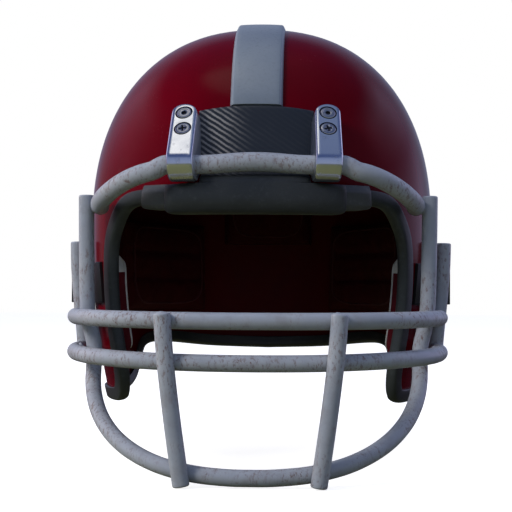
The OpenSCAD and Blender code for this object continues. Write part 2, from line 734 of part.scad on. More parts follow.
module nut() {
    difference() {
        cylinder(d = nut_d, h = nut_t, $fn = 32);
        translate([0, 0, -1]) cylinder(d = shank_d + 2 * shank_gap, h = nut_t + 2, $fn = 32);
    }
}

// Side clips: a plate along the shell with a saddle behind the rear post, open to the front
post_gap = 0.35;
saddle_out = 1.5;
saddle_back = 8;
saddle_front = 9.5;
clip_from = centre_y - 80;
clip_to = centre_y - 10;
function post_x(z) =
    let (p = post_line)
    let (i = max([for (k = [0:len(p) - 2]) p[k][1] <= z ? k : 0]))
    cross_x + p[i][0] + (p[i + 1][0] - p[i][0]) * (z - p[i][1]) / (p[i + 1][1] - p[i][1]);
module side_clip(side) {
    low = clip_z - clip_h / 2;
    top = clip_z + clip_h / 2;
    y = centre_y - post_y;
    slot_in = post_x(low) - bar_r - post_gap;
    out = post_x(clip_z) + bar_r + saddle_out;
    front = y - saddle_front;
    back = y + bar_r + post_gap;
    end = back + saddle_back;
    lay = 1.3;
    color([0.12, 0.12, 0.13])
    difference() {
        union() {
            clip_plate(side);
            translate([0, 0, low]) scale([side, 1, 1]) linear_extrude(clip_h)
                polygon([[side_x(front, top) + lay, front], [slot_in, front], [slot_in, back],
                    [out - 0.8, back], [out, back + 0.8], [out, end - 4], [out - 4, end],
                    [side_x(end, top) + lay, end], [side_x(back, top) + lay, back]]);
        }
        on_shell(clip_seat(side)) {
            shank_hole();
            translate([0, 0, clip_head]) cylinder(d = head_d + 2 * shank_gap, h = 20, $fn = 32);
        }
    }
}
clip_steps = 7;
module clip_plate(side) {
    low = clip_z - clip_h / 2;
    top = clip_z + clip_h / 2;
    lofted([for (i = [0:clip_steps])
        let (y = clip_from + (clip_to - clip_from) * i / clip_steps)
        let (thick = seat_gap + clip_t * (i == 0 || i == clip_steps ? 0.45 : 1))
        let (ring = [for (c = [[low, seat_gap], [top, seat_gap], [top, thick - 0.8], [top - 1, thick],
                               [low + 1, thick], [low, thick - 0.8]])
            skin([side * side_x(y, c[0]), y - centre_y, c[0] - shell_level], c[1])])
        side > 0 ? backwards(ring) : ring]);
}
function clip_seat(side) = [side * side_x(clip_screw_y, clip_z), clip_screw_y, clip_z];
clip_head = clip_t + seat_gap - 1.5;
module left_side_clip() {
    side_clip(left);
}
module right_side_clip() {
    side_clip(right);
}
module side_clip_screws() {
    under = clip_head + seat_gap;
    color("silver")
    for (side = [left, right])
        on_shell(clip_seat(side)) difference() {
            union() {
                translate([0, 0, under]) cylinder(d = head_d, h = head_t, $fn = 32);
                translate([0, 0, -clip_nut_out - nut_t - shank_end])
                    cylinder(d = shank_d, h = clip_nut_out + nut_t + shank_end + under + 0.5, $fn = 32);
            }
            cross_slot(under + head_t);
        }
}
clip_nut_out = wall + nut_gap;
module side_clip_t_nuts() {
    color("dimgray")
    for (side = [left, right])
        on_shell(clip_seat(side)) translate([0, 0, -clip_nut_out - nut_t]) nut();
}

// Studs that the chin strap snaps on to: a washer inside, a foot plate and a straight barrel
stud_washer_r = 4.5;
stud_washer_t = 2.4;
stud_foot_t = 1.4;
stud_barrel_r = stud_d * 0.32;
stud_chamfer = 0.8;
module chin_strap_studs() {
    inside = -wall - nut_gap;
    foot = seat_gap + stud_foot_t;
    color("silver")
    for (side = [left, right], s = stud_places)
        on_shell([side * side_x(centre_y + s[0], s[1]), centre_y + s[0], s[1]])
            rotate_extrude($fn = 40)
            polygon([[0, inside - stud_washer_t], [stud_washer_r, inside - stud_washer_t],
                [stud_washer_r, inside], [shank_d / 2, inside], [shank_d / 2, seat_gap],
                [stud_d / 2, seat_gap], [stud_d / 2, foot], [stud_barrel_r, foot],
                [stud_barrel_r, stud_h - stud_chamfer], [stud_barrel_r - stud_chamfer, stud_h],
                [0, stud_h]]);
}

shell();
edge_trim();
centre_stripe();
front_bumper();
brow_sleeve();
forehead_pad();
crown_pad();
back_pad();
left_temple_pad();
right_temple_pad();
left_side_pad();
right_side_pad();
left_jaw_pad();
right_jaw_pad();
left_bracket();
right_bracket();
bracket_screws();
bracket_rivets();
bracket_t_nuts();
left_side_clip();
right_side_clip();
side_clip_screws();
side_clip_t_nuts();
chin_strap_studs();
brow_bar();
jaw_bar();
upper_bar();
lower_bar();
left_upright();
right_upright();
left_side_post();
right_side_post();
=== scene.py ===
"""The looks of the football helmet: every piece of the construction, rebuilt as a finished surface.

The forms follow the same rules as the construction. Lengths in the geometry functions are
millimetres; add_mesh() turns them into Blender's metres.
"""
import contextlib
import json
import math

import bmesh
import bpy
import numpy as np
from mathutils import Matrix, Vector


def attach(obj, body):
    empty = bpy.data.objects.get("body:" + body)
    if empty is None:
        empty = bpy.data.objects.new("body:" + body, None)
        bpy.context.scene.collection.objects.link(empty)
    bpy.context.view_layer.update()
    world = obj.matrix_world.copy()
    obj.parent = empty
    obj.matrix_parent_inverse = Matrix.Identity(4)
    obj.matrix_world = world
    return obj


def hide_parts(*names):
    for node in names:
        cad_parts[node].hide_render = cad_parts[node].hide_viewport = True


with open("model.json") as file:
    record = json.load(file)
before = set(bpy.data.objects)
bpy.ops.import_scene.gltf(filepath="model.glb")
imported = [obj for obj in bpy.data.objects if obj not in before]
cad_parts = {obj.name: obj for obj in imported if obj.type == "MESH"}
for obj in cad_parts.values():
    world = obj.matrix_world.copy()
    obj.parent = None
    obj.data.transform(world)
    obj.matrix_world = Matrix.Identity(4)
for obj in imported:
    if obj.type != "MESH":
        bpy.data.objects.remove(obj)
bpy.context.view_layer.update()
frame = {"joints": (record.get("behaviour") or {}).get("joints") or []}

MM = 0.001
SIDES = {"left": -1, "right": 1}

# The construction's sizes

hinge = frame["joints"][0]["pos_m"]
SHELL_W, SHELL_FRONT, SHELL_BACK = 239.0, 140.0, 152.0
SHELL_RISE, SHELL_DROP, SHELL_LEVEL = 140.0, 259.0, 158.5
WALL, PLAN_POWER, CROWN_POWER = 4.0, 2.3, 2.28
BROW_Z, BROW_DIP, CHEEK_A, SKIRT_Z, NAPE_Z = 170.0, 0.5, 46.4, 42.0, 70.5
TRIM_LAP, TRIM_T, TRIM_NOSE, SEAT_GAP = 7.5, 1.6, 2.0, 0.3
STRIPE_W, STRIPE_H = 33.0, 3.6
EAR_D, EAR_BACK, EAR_Z = 30.0, 8.0, 112.0
ROLL_W, ROLL_T, ROLL_DROP = 105.0, 13.0, 10.0
PANEL_W, PANEL_FLARE, PANEL_TOP, PANEL_T = 64.5, 6.2, 228.0, 2.4
SLEEVE_W, SLEEVE_T = 141.0, 2.4
BAR_R, BROW_BAR_R, WELD = 5.0, 5.9, 1.8
BROW_BAR_REACH = 149.0
HINGE_Y, BROW_BAR_Z = hinge[1] / MM, hinge[2] / MM
CENTRE_Y = HINGE_Y + BROW_BAR_REACH
CENTRE = np.array([0.0, CENTRE_Y, SHELL_LEVEL])
JAW_TUCK, JAW_TOP_Z, JAW_SIDE_Y, JAW_REACH, JAW_Z = 8.8, 175.0, 100.0, 189.5, 5.7
JAW_POWER, JAW_BOW, JAW_KNEE = 2.44, 2.15, 71.0
CROSS_SIDE_OUT, CROSS_REACH, CROSS_POWER = 6.5, 190.0, 2.8
UPPER_Z, UPPER_LIFT, LOWER_Z, LOWER_LIFT = 95.5, 1.5, 71.2, 3.5
UPRIGHT_TOP_X, UPRIGHT_FOOT_X, UPRIGHT_CURVE = 51.0, 39.2, 1.3
POST_Y = 50.0
POST_AT, JAW_AT = CENTRE_Y - POST_Y, CENTRE_Y - JAW_SIDE_Y
# the side post's distance beside the cross bars' ends, and its height
POST_LINE = [(-0.4, 73.0), (0.8, 88.0), (3.2, 112.0), (4.6, 130.0), (5.1, 147.0)]
BRACKET_X, BRACKET_W, BRACKET_TURN, FACE_TILT = 43.5, 16.5, 10.0, 38.0
LOOP_R, HINGE_GAP = 10.5, 0.2
RIVET_Z, SCREW_Z, HEAD_D, HEAD_SUNK = 223.7, 212.8, 10.6, 1.3
SHANK_D, SHANK_GAP, NUT_D, NUT_T = 5.0, 0.2, 9.0, 4.0
CLIP_Z, CLIP_H, CLIP_T = 119.0, 27.0, 4.0
CLIP_LOW, CLIP_TOP = CLIP_Z - CLIP_H / 2, CLIP_Z + CLIP_H / 2
STUD_D, STUD_H = 12.0, 6.0
STUD_PLACES = [(35.0, 118.0), (-12.0, 74.0)]

# The form of the shell


def one_long(v):
    """The same directions, each one long."""
    v = np.asarray(v, float)
    return v / np.linalg.norm(v, axis=-1, keepdims=True)


def power_at(z):
    """Fullness of the form above and below its widest level."""
    return np.where(np.asarray(z) < 0, 2.0, CROWN_POWER)


def drop_at(z):
    """How far the form reaches below or above its widest level."""
    return np.where(np.asarray(z) < 0, SHELL_DROP, SHELL_RISE)


def depth_at(y):
    """How far the form reaches ahead of or behind its centre."""
    return np.where(np.asarray(y) < 0, SHELL_FRONT, SHELL_BACK)


def reach(d):
    """Distance from the centre to the outside of the shell along d."""
    x, y, z = np.moveaxis(one_long(d), -1, 0)
    m = power_at(z)
    plan = np.abs(x / (SHELL_W / 2)) ** PLAN_POWER + np.abs(y / depth_at(y)) ** PLAN_POWER
    return (plan ** (m / PLAN_POWER) + np.abs(z / drop_at(z)) ** m) ** (-1 / m)


def outward(p):
    """Outward direction of the form at p, measured from the centre."""
    x, y, z = np.moveaxis(np.asarray(p, float), -1, 0)
    m, b, n, a = power_at(z), depth_at(y), PLAN_POWER, SHELL_W / 2
    plan = np.maximum(np.abs(x / a) ** n + np.abs(y / b) ** n, 1e-6)
    k = plan ** (m / n - 1)
    return one_long(np.stack([k * np.abs(x / a) ** (n - 1) * np.sign(x) / a,
                              k * np.abs(y / b) ** (n - 1) * np.sign(y) / b,
                              np.abs(z / drop_at(z)) ** (m - 1) * np.sign(z) / drop_at(z)], -1))


def skin(d, off):
    """The point off above the shell along the direction d."""
    d = np.asarray(d, float)
    p = d * (reach(d) / np.linalg.norm(d, axis=-1))[..., None]
    return CENTRE + p + np.asarray(off, float)[..., None] * outward(p)


def toward(a, z):
    """The direction to the azimuth a, in degrees from straight ahead, at the height z."""
    a, h = np.radians(np.asarray(a, float)), np.asarray(z, float) - SHELL_LEVEL
    a, h = np.broadcast_arrays(a, h)
    m, b = power_at(h), np.where(np.cos(a) > 0, SHELL_FRONT, SHELL_BACK)
    k = (1 - np.abs(h / drop_at(h)) ** m) ** (1 / m)
    plan = np.abs(np.sin(a) / (SHELL_W / 2)) ** PLAN_POWER + np.abs(np.cos(a) / b) ** PLAN_POWER
    r = k / plan ** (1 / PLAN_POWER)
    return np.stack([r * np.sin(a), -r * np.cos(a), h], -1)


def over(x, tilt):
    """The direction to x beside the middle plane, tilt degrees up from straight ahead."""
    x, tilt = np.broadcast_arrays(np.asarray(x, float), np.radians(np.asarray(tilt, float)))
    d = np.stack([np.zeros_like(tilt), -np.cos(tilt), np.sin(tilt)], -1)
    return np.stack([x / reach(d), d[..., 1], d[..., 2]], -1)


def plan_at(z):
    """The sum that the outline of the form's plan makes at the height z, 1 at its widest level."""
    h = z - SHELL_LEVEL
    m = float(power_at(h))
    return (1 - abs(h / float(drop_at(h))) ** m) ** (PLAN_POWER / m)


def side_x(y, z):
    """Half width of the shell's outside at y and z."""
    v = y - CENTRE_Y
    k = plan_at(z) - abs(v / float(depth_at(v))) ** PLAN_POWER
    return SHELL_W / 2 * k ** (1 / PLAN_POWER)


CROSS_X = side_x(POST_AT, CLIP_Z) + CROSS_SIDE_OUT
JAW_TOP_X = CROSS_X - JAW_TUCK


def smooth_line(points, steps):
    """A smooth line through the points, with that many steps between two of them."""
    p = np.asarray(points, float)
    last, out = len(p) - 1, []
    for i in range(last):
        a, b, c, d = p[max(i - 1, 0)], p[i], p[i + 1], p[min(i + 2, last)]
        for j in range(steps + (i == last - 1)):
            t = j / steps
            out.append(b + 0.5 * t * (c - a + t * (2 * a - 5 * b + 4 * c - d + t * (3 * (b - c) + d - a))))
    return np.array(out)


def spaced(line, count):
    """The same line, with count points evenly spaced along it."""
    line = np.asarray(line, float)
    way = np.r_[0, np.cumsum(np.linalg.norm(np.diff(line, axis=0), axis=1))]
    return np.stack([np.interp(np.linspace(0, way[-1], count), way, line[:, k]) for k in range(3)], -1)


CORNER_R = 9.0
EDGE_SIDE = smooth_line([
    (0, BROW_Z), (16, BROW_Z), (30, BROW_Z - BROW_DIP), (37, BROW_Z - 3), (41, BROW_Z - 11),
    (CHEEK_A - 1.7, BROW_Z - 25), (CHEEK_A - 0.2, 125), (CHEEK_A + 0.2, 95),
    (CHEEK_A - 0.6, 70), (CHEEK_A, SKIRT_Z + CORNER_R + 4), (CHEEK_A + 2.4, SKIRT_Z + 3.5),
    (CHEEK_A + 7, SKIRT_Z), (72, SKIRT_Z), (92, SKIRT_Z), (109, SKIRT_Z + 1),
    (117, SKIRT_Z + 5), (122, SKIRT_Z + 12), (126, NAPE_Z - 6), (130, NAPE_Z + 2),
    (137, NAPE_Z + 5.5), (146, NAPE_Z + 5), (162, NAPE_Z + 1.5), (180, NAPE_Z)], 8)
EDGE = np.vstack([EDGE_SIDE, (EDGE_SIDE * [-1, 1])[-2:0:-1]])
EDGE_DIRS = toward(EDGE[:, 0], EDGE[:, 1])

# Mesh helpers

WELD_DISTANCE = 1e-7


def put(name, data):
    """A new object in the scene."""
    piece = bpy.data.objects.new(name, data)
    bpy.context.scene.collection.objects.link(piece)
    return piece


def add_mesh(name, points, faces):
    """A new object from points in millimetres."""
    mesh = bpy.data.meshes.new(name)
    mesh.from_pydata((np.asarray(points) * MM).tolist(), [], [[int(i) for i in f] for f in faces])
    mesh.validate()
    mesh.polygons.foreach_set("use_smooth", [True] * len(mesh.polygons))
    return put(name, mesh)


def grid_faces(rows, columns, start=0, wrap_rows=False, wrap_columns=False):
    """Quads between rows of points, each row columns long."""
    out = []
    for i in range(rows if wrap_rows else rows - 1):
        for j in range(columns if wrap_columns else columns - 1):
            here, there = start + i * columns, start + (i + 1) % rows * columns
            k = (j + 1) % columns
            out.append([here + j, here + k, there + k, there + j])
    return out


def loft(name, rings, closed=False):
    """A solid through rings of points, with flat ends or joined end to end."""
    rings = np.asarray(rings, float)
    rows, columns = rings.shape[:2]
    faces = grid_faces(rows, columns, wrap_rows=closed, wrap_columns=True)
    if not closed:
        faces += [list(range(columns))[::-1], [(rows - 1) * columns + j for j in range(columns)]]
    return outside_out(add_mesh(name, rings.reshape(-1, 3), faces))


@contextlib.contextmanager
def editing(mesh):
    """The mesh as a bmesh, written back at the end."""
    bm = bmesh.new()
    bm.from_mesh(mesh)
    yield bm
    bm.to_mesh(mesh)
    bm.free()


def outside_out(piece, weld=0.0):
    """Makes every face look outwards; points closer than weld metres become one first."""
    with editing(piece.data) as bm:
        if weld:
            bmesh.ops.remove_doubles(bm, verts=bm.verts, dist=weld)
        bmesh.ops.recalc_face_normals(bm, faces=bm.faces)
    return piece


def modifier(piece, kind, **settings):
    """Adds a modifier of a kind, with its settings."""
    m = piece.modifiers.new(kind.title(), kind)
    for key, value in settings.items():
        setattr(m, key, value)
    return m


def apply_modifiers(piece):
    """Turns the modifiers into mesh."""
    graph = bpy.context.evaluated_depsgraph_get()
    mesh = bpy.data.meshes.new_from_object(piece.evaluated_get(graph))
    piece.modifiers.clear()
    old = piece.data
    piece.data = mesh
    bpy.data.meshes.remove(old)
    return piece


def cut(piece, cutters):
    """Cuts the cutters out of the piece."""
    for c in cutters:
        modifier(piece, "BOOLEAN", operation="DIFFERENCE", object=c, solver="EXACT")
    apply_modifiers(piece)
    for c in cutters:
        bpy.data.objects.remove(c)
    return piece


def soften(piece, width, segments, angle):
    """Rounds the sharp edges, and shades across the round."""
    modifier(piece, "BEVEL", width=width * MM, segments=segments, limit_method="ANGLE",
             angle_limit=math.radians(angle), harden_normals=True)
    return apply_modifiers(piece)


def sharpen(piece, angle=40):
    """Keeps edges sharper than the angle crisp in the shading."""
    with editing(piece.data) as bm:
        for e in bm.edges:
            e.smooth = len(e.link_faces) == 2 and e.calc_face_angle(0) < math.radians(angle)
    return piece


def joined(name, pieces):
    """One object from several."""
    mesh = bpy.data.meshes.new(name)
    with editing(mesh) as bm:
        for p in pieces:
            bm.from_mesh(p.data)
    for p in pieces:
        bpy.data.objects.remove(p)
    return put(name, mesh)


def placed(points, place):
    """Points given in a place's own axes, moved to where the place is."""
    return np.asarray(points, float) @ place[:3, :3].T + place[:3, 3]


def around(count):
    """That many angles, evenly spaced round a circle."""
    return np.arange(count) * 2 * math.pi / count


def unit(degrees):
    """The flat direction at an angle in degrees."""
    return np.array([math.cos(math.radians(degrees)), math.sin(math.radians(degrees))])


def rings_round(rows, count):
    """Round rings of points; each row is a middle, two directions across and a radius."""
    return [[p + r * (math.cos(a) * s + math.sin(a) * o) for a in around(count)] for p, s, o, r in rows]


def turned(name, profile, place, sides=48):
    """A turned solid: profile rows are (radius, height), place is a 4x4 matrix in millimetres."""
    points = [(r * math.cos(a), r * math.sin(a), z) for r, z in profile for a in around(sides)]
    faces = grid_faces(len(profile), sides, wrap_columns=True)
    if profile[0][0] > 0:
        faces.append(list(range(sides))[::-1])
    if profile[-1][0] > 0:
        faces.append([(len(profile) - 1) * sides + j for j in range(sides)])
    return sharpen(outside_out(add_mesh(name, placed(points, place), faces), WELD_DISTANCE))


def plug(place, r, low, high, sides=48):
    """A round cutter from one height to another."""
    return turned("cutter", [(0, low), (r, low), (r, high), (0, high)], place, sides)


def turned_ring(name, outline, place, sides, crisp):
    """A turned solid with a bore; the outline's rows are (radius, height) and it closes on itself."""
    rings = [[(r * math.cos(a), r * math.sin(a), z) for r, z in outline] for a in around(sides)]
    return sharpen(loft(name, placed(rings, place), closed=True), crisp)


def box(name, corners):
    """A solid with six flat sides: four corners of its floor in turn, then the four above them."""
    sides = [[i, (i + 1) % 4, 4 + (i + 1) % 4, 4 + i] for i in range(4)]
    return outside_out(add_mesh(name, corners, [[3, 2, 1, 0], [4, 5, 6, 7]] + sides))


def frame_at(x, y, z, point):
    """The matrix with those axes at the point."""
    m = np.eye(4)
    m[:3, 0], m[:3, 1], m[:3, 2], m[:3, 3] = x, y, z, point
    return m


def facing(point, normal):
    """The matrix that puts Z on the normal at the point, X level."""
    n = one_long(normal)
    x = one_long(np.cross([0, 0, 1], n))
    return frame_at(x, np.cross(n, x), n, point)


def sideways(side, point):
    """The matrix that puts Z to the left or the right at the point."""
    return frame_at([0, 0, -side], [0, 1, 0], [side, 0, 0], point)


def on_side(side, y, z):
    """The place on the shell's side at y and z, looking outwards."""
    p = np.array([side * side_x(y, z), y, z])
    return facing(p, outward(p - CENTRE))


# Materials


class Nodes:
    """A node tree, and short ways to add to it."""

    def __init__(self, tree):
        self.tree = tree

    def feed(self, socket, value):
        """Links a socket to another one, or gives it a value; colours are three numbers."""
        if isinstance(value, bpy.types.NodeSocket):
            self.tree.links.new(value, socket)
        else:
            socket.default_value = (*value, 1) if socket.type == "RGBA" else value

    def add(self, kind, inputs, **settings):
        n = self.tree.nodes.new("ShaderNode" + kind)
        for key, value in settings.items():
            setattr(n, key, value)
        for key, value in inputs.items():
            self.feed(n.inputs[key], value)
        return n

    def axes(self, vector):
        """The three parts of a vector."""
        return self.add("SeparateXYZ", {"Vector": vector}).outputs

    def between(self, value, low, high, to_low=0.0, to_high=1.0):
        """A soft step from to_low to to_high while the value goes from low to high."""
        return self.add("MapRange", {"Value": value, "From Min": low, "From Max": high, "To Min": to_low,
                                     "To Max": to_high}, interpolation_type="SMOOTHSTEP").outputs["Result"]

    def math(self, operation, a, b=0.0):
        return self.add("Math", {0: a, 1: b}, operation=operation).outputs[0]

    def times(self, a, b):
        return self.math("MULTIPLY", a, b)

    def plus(self, a, b):
        return self.math("ADD", a, b)

    def mix(self, fac, a, b):
        """From the colour a at 0 to the colour b at 1."""
        return self.add("Mix", {0: fac, 6: a, 7: b}, data_type="RGBA").outputs[2]

    def ramp(self, fac, stops):
        """Colours from stop to stop; a stop is a place and a colour."""
        n = self.add("ValToRGB", {"Fac": fac})
        elements = n.color_ramp.elements
        elements.remove(elements[0])
        elements[0].position, elements[0].color = stops[0][0], (*stops[0][1], 1)
        for position, colour in stops[1:]:
            elements.new(position).color = (*colour, 1)
        return n.outputs["Color"]


class Paint(Nodes):
    """A material built node by node."""

    def __init__(self, name):
        self.material = bpy.data.materials.new(name)
        self.material.use_nodes = True
        super().__init__(self.material.node_tree)
        self.shader = self.tree.nodes["Principled BSDF"]
        self.place = self.add("TexCoord", {}).outputs["Object"]

    def mapped(self, **settings):
        """The place after scaling or turning."""
        return self.add("Mapping", {"Vector": self.place, **settings}).outputs["Vector"]

    def noise(self, scale, detail=4, rough=0.5, place=None):
        return self.add("TexNoise", {"Vector": place or self.place, "Scale": scale, "Detail": detail,
                                     "Roughness": rough}).outputs["Fac"]

    def bump(self, height, strength, distance):
        inputs = {"Height": height, "Strength": strength, "Distance": distance}
        return self.add("Bump", inputs).outputs["Normal"]

    def set(self, **sockets):
        """Sets the shader's sockets; an underscore stands for a space in their names."""
        for key, value in sockets.items():
            self.feed(self.shader.inputs[key.replace("_", " ")], value)
        return self.material


def shade(colour, factor):
    return tuple(factor * c for c in colour)


def red_gloss():
    """Moulded gloss with a fine peel, and a few scuffed patches."""
    p = Paint("red_gloss")
    cloud = p.between(p.noise(14, 3), 0.35, 0.7)
    scuffs = p.between(p.noise(420, 5, 0.62), 0.58, 0.72)
    worn = p.times(scuffs, p.between(p.noise(24, 3), 0.52, 0.68))
    colour = p.mix(cloud, (0.108, 0.0004, 0.0045), (0.088, 0.0003, 0.0035))
    colour = p.mix(p.times(worn, 0.25), colour, (0.15, 0.012, 0.018))
    peel = p.bump(p.noise(210, 2, 0.4), 0.035, 0.0006)
    return p.set(Base_Color=colour, Roughness=p.between(worn, 0, 1, 0.16, 0.42), Normal=peel, IOR=1.16)


def red_inside():
    p = Paint("red_inside")
    tone = p.noise(60, 4)
    colour = p.mix(tone, (0.075, 0.0006, 0.0020), (0.105, 0.001, 0.003))
    return p.set(Base_Color=colour, Roughness=p.between(tone, 0, 1, 0.4, 0.6), Specular_IOR_Level=0.15,
                 Normal=p.bump(p.noise(400, 3), 0.15, 0.0004))


def rubber(name, dark, light, rough):
    """Matt rubber, cloudy and a little dusty."""
    p = Paint(name)
    cloud = p.noise(35, 4)
    dust = p.between(p.noise(320, 6, 0.7), 0.5, 0.8)
    colour = p.mix(p.between(cloud, 0.3, 0.7), dark, light)
    colour = p.mix(p.times(dust, 0.35), colour, shade(light, 2.6))
    return p.set(Base_Color=colour, Roughness=p.between(cloud, 0.2, 0.8, rough - 0.06, rough + 0.1),
                 Normal=p.bump(p.noise(900, 4), 0.22, 0.0004))


def twill(name, dark, light):
    """Woven panel: slanting ribs, each broken into short floats, their lit crests brighter in worn patches,
    and a painted sheen that brightens the left end.
    """
    p = Paint(name)
    turns = 2 * math.pi
    ribs_per_m, floats_per_m, slant = 335.0, 520.0, math.radians(-34)
    across = p.axes(p.mapped(Rotation=(0, slant, 0)))
    wobble = p.times(p.noise(160, 2), 0.0012)
    rib = p.math("SINE", p.times(p.plus(across["Z"], wobble), ribs_per_m * turns))
    floats = p.math("SINE", p.times(across["X"], floats_per_m * turns))
    height = p.plus(p.between(rib, -0.6, 0.9), p.times(floats, 0.12))
    wear = p.between(p.noise(40, 4), 0.4, 0.68)
    # painted sheen: the colour grows brighter towards the left end, standing in for light from the left; the
    # relief is stronger there too
    left = p.between(p.axes(p.place)["X"], 0.0, -0.026)
    lit = p.times(p.between(height, 0.25, 0.9), p.plus(p.times(wear, 0.6), 0.2))
    colour = p.mix(p.times(lit, p.plus(p.times(left, 0.95), 0.05)), dark, light)
    relief = p.times(height, p.plus(p.times(left, 0.9), 0.1))
    return p.set(Base_Color=colour, Roughness=0.42, Normal=p.bump(relief, 0.42, 0.0006), IOR=1.5)


def guard_paint():
    """Grey coating on the bars, with specks and short streaks of rust in patches."""
    p = Paint("guard_paint")
    cloud = p.between(p.noise(26, 5, 0.6), 0.3, 0.7)
    grime = p.between(p.noise(90, 6, 0.65), 0.45, 0.75)
    colour = p.mix(cloud, (0.29, 0.315, 0.365), (0.36, 0.38, 0.42))
    colour = p.mix(p.times(grime, 0.45), colour, (0.22, 0.21, 0.215))
    patch = p.between(p.noise(26, 3), 0.40, 0.56)
    tall = p.mapped(Scale=(1.0, 1.0, 0.45))
    specks = p.times(p.between(p.noise(560, 4, 0.65, tall), 0.51, 0.64), patch)
    chips = p.times(p.between(p.noise(330, 5, 0.7, tall), 0.58, 0.66), patch)
    colour = p.mix(p.times(specks, 0.6), colour, (0.17, 0.115, 0.10))
    colour = p.mix(p.times(chips, 0.7), colour, (0.14, 0.070, 0.055))
    rust = p.math("MAXIMUM", specks, chips)
    height = p.math("SUBTRACT", p.times(p.noise(130, 3), 0.3), rust)
    return p.set(Base_Color=colour, Roughness=p.between(rust, 0, 1, 0.36, 0.8),
                 Normal=p.bump(height, 0.3, 0.0004))


def bright_metal(name, base, rough, scratch=0.25):
    """Bare metal with fine upright scratches and dull stains."""
    p = Paint(name)
    lines = p.noise(1.0, 3, 0.6, p.mapped(Scale=(2600, 2600, 90)))
    stain = p.times(p.between(p.noise(230, 6, 0.7), 0.56, 0.75), 0.5)
    dull = p.between(p.plus(p.noise(70, 4), stain), 0.3, 1.1, rough, rough + 0.2)
    return p.set(Base_Color=p.mix(stain, base, shade(base, 0.45)), Metallic=1.0, Roughness=dull,
                 Normal=p.bump(lines, scratch * 0.3, 0.0002))


def plain_plastic(name, base, rough):
    p = Paint(name)
    tone = p.noise(50, 4)
    return p.set(Base_Color=p.mix(tone, shade(base, 0.85), shade(base, 1.15)),
                 Roughness=p.between(tone, 0.2, 0.8, rough - 0.05, rough + 0.1),
                 Normal=p.bump(p.noise(700, 3), 0.12, 0.0003))


def stripe_paint():
    p = Paint("stripe_paint")
    cloud = p.between(p.noise(22, 4), 0.3, 0.7)
    fine = p.between(p.noise(500, 5, 0.65), 0.45, 0.75)
    colour = p.mix(cloud, (0.165, 0.196, 0.236), (0.198, 0.228, 0.258))
    colour = p.mix(p.times(fine, 0.3), colour, (0.115, 0.13, 0.155))
    return p.set(Base_Color=colour, Roughness=p.between(fine, 0, 1, 0.3, 0.46),
                 Normal=p.bump(p.noise(320, 3), 0.08, 0.0004))


def cloth(name, dark, light, sheen=0.3, tint=(1.0, 1.0, 1.0)):
    """Knitted cover of a pad."""
    p = Paint(name)
    threads_per_m = 1500.0
    parts = p.axes(p.place)
    waves = [p.math("SINE", p.times(parts[k], threads_per_m * 2 * math.pi)) for k in "XYZ"]
    weave = p.times(p.plus(waves[0], waves[1]), waves[2])
    colour = p.mix(p.between(p.noise(80, 4), 0.3, 0.7), dark, light)
    colour = p.mix(p.times(p.between(weave, -1, 1), 0.3), colour, shade(light, 1.5))
    height = p.plus(p.times(weave, 0.12), p.noise(140, 5))
    return p.set(Base_Color=colour, Roughness=0.85, Normal=p.bump(height, 0.3, 0.0008),
                 Sheen_Weight=sheen, Sheen_Roughness=0.4, Sheen_Tint=tint, Specular_IOR_Level=0.2)


RED, RED_IN = red_gloss(), red_inside()
TRIM_RUBBER = rubber("trim_rubber", (0.022, 0.026, 0.027), (0.035, 0.040, 0.042), 0.42)
ROLL_RUBBER = rubber("roll_rubber", (0.016, 0.019, 0.022), (0.026, 0.029, 0.032), 0.5)
SLEEVE_RUBBER = rubber("sleeve_rubber", (0.048, 0.051, 0.053), (0.064, 0.068, 0.070), 0.5)
PANEL_TWILL = twill("panel_twill", (0.013, 0.016, 0.021), (0.30, 0.285, 0.27))
GUARD_PAINT = guard_paint()
BRACKET_METAL = bright_metal("bracket_metal", (0.74, 0.76, 0.80), 0.16)
# the brackets' sides: a rougher copy of the metal, with a lighter colour that is painted light from the sky
BRACKET_SIDE_LIT = bright_metal("bracket_side_lit", (0.80, 0.82, 0.86), 0.42)
# near-black for the recesses round the heads, the cross slots and the rivet bores: painted shade
RECESS_SHADE = plain_plastic("recess_shade", (0.012, 0.013, 0.018), 0.6)
STEEL = bright_metal("fastener_steel", (0.50, 0.50, 0.51), 0.26, 0.5)
DARK_STEEL = bright_metal("nut_steel", (0.22, 0.22, 0.23), 0.38, 0.5)
STUD_STEEL = bright_metal("stud_steel", (0.62, 0.62, 0.63), 0.14)
CLIP_PLASTIC = plain_plastic("clip_plastic", (0.010, 0.010, 0.011), 0.42)
STRIPE_PAINT = stripe_paint()
PAD_CLOTH = cloth("pad_cloth", (0.040, 0.0016, 0.0030), (0.060, 0.0028, 0.0050), 0.08, (0.8, 0.15, 0.2))
PAD_WELT = cloth("pad_welt", (0.055, 0.010, 0.014), (0.085, 0.018, 0.024), 0.2, (0.8, 0.4, 0.4))
JAW_CLOTH = cloth("jaw_cloth", (0.060, 0.003, 0.007), (0.095, 0.006, 0.012), 0.15, (0.9, 0.3, 0.3))
# pale cover for the jaw pads' piping and front corner: a painted highlight on their lit front edge
PIPING_HIGHLIGHT = cloth("piping_highlight", (0.42, 0.41, 0.40), (0.58, 0.57, 0.55))


def dress(piece, node, materials, body="helmet"):
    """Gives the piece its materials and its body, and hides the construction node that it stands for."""
    for material in materials:
        piece.data.materials.append(material)
    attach(piece, body)
    if node:
        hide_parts(node)
    return piece


# Shell, trim and stripe

POLE_TILT = math.radians(138)
FAN_STEPS = 44
FACING_OUT = 0.6


def shell_points(off):
    """Rows of points from the pole at the back of the crown to the edge, at a height off."""
    pole = np.array([0, -math.cos(POLE_TILT), math.sin(POLE_TILT)])
    u = one_long(EDGE_DIRS)
    w = np.arccos(u @ pole)[:, None]
    rows = []
    for t in np.arange(1, FAN_STEPS + 1) / FAN_STEPS:
        rows.append(skin((pole * np.sin((1 - t) * w) + u * np.sin(t * w)) / np.sin(w), off))
    return np.array(rows), skin(pole, off)


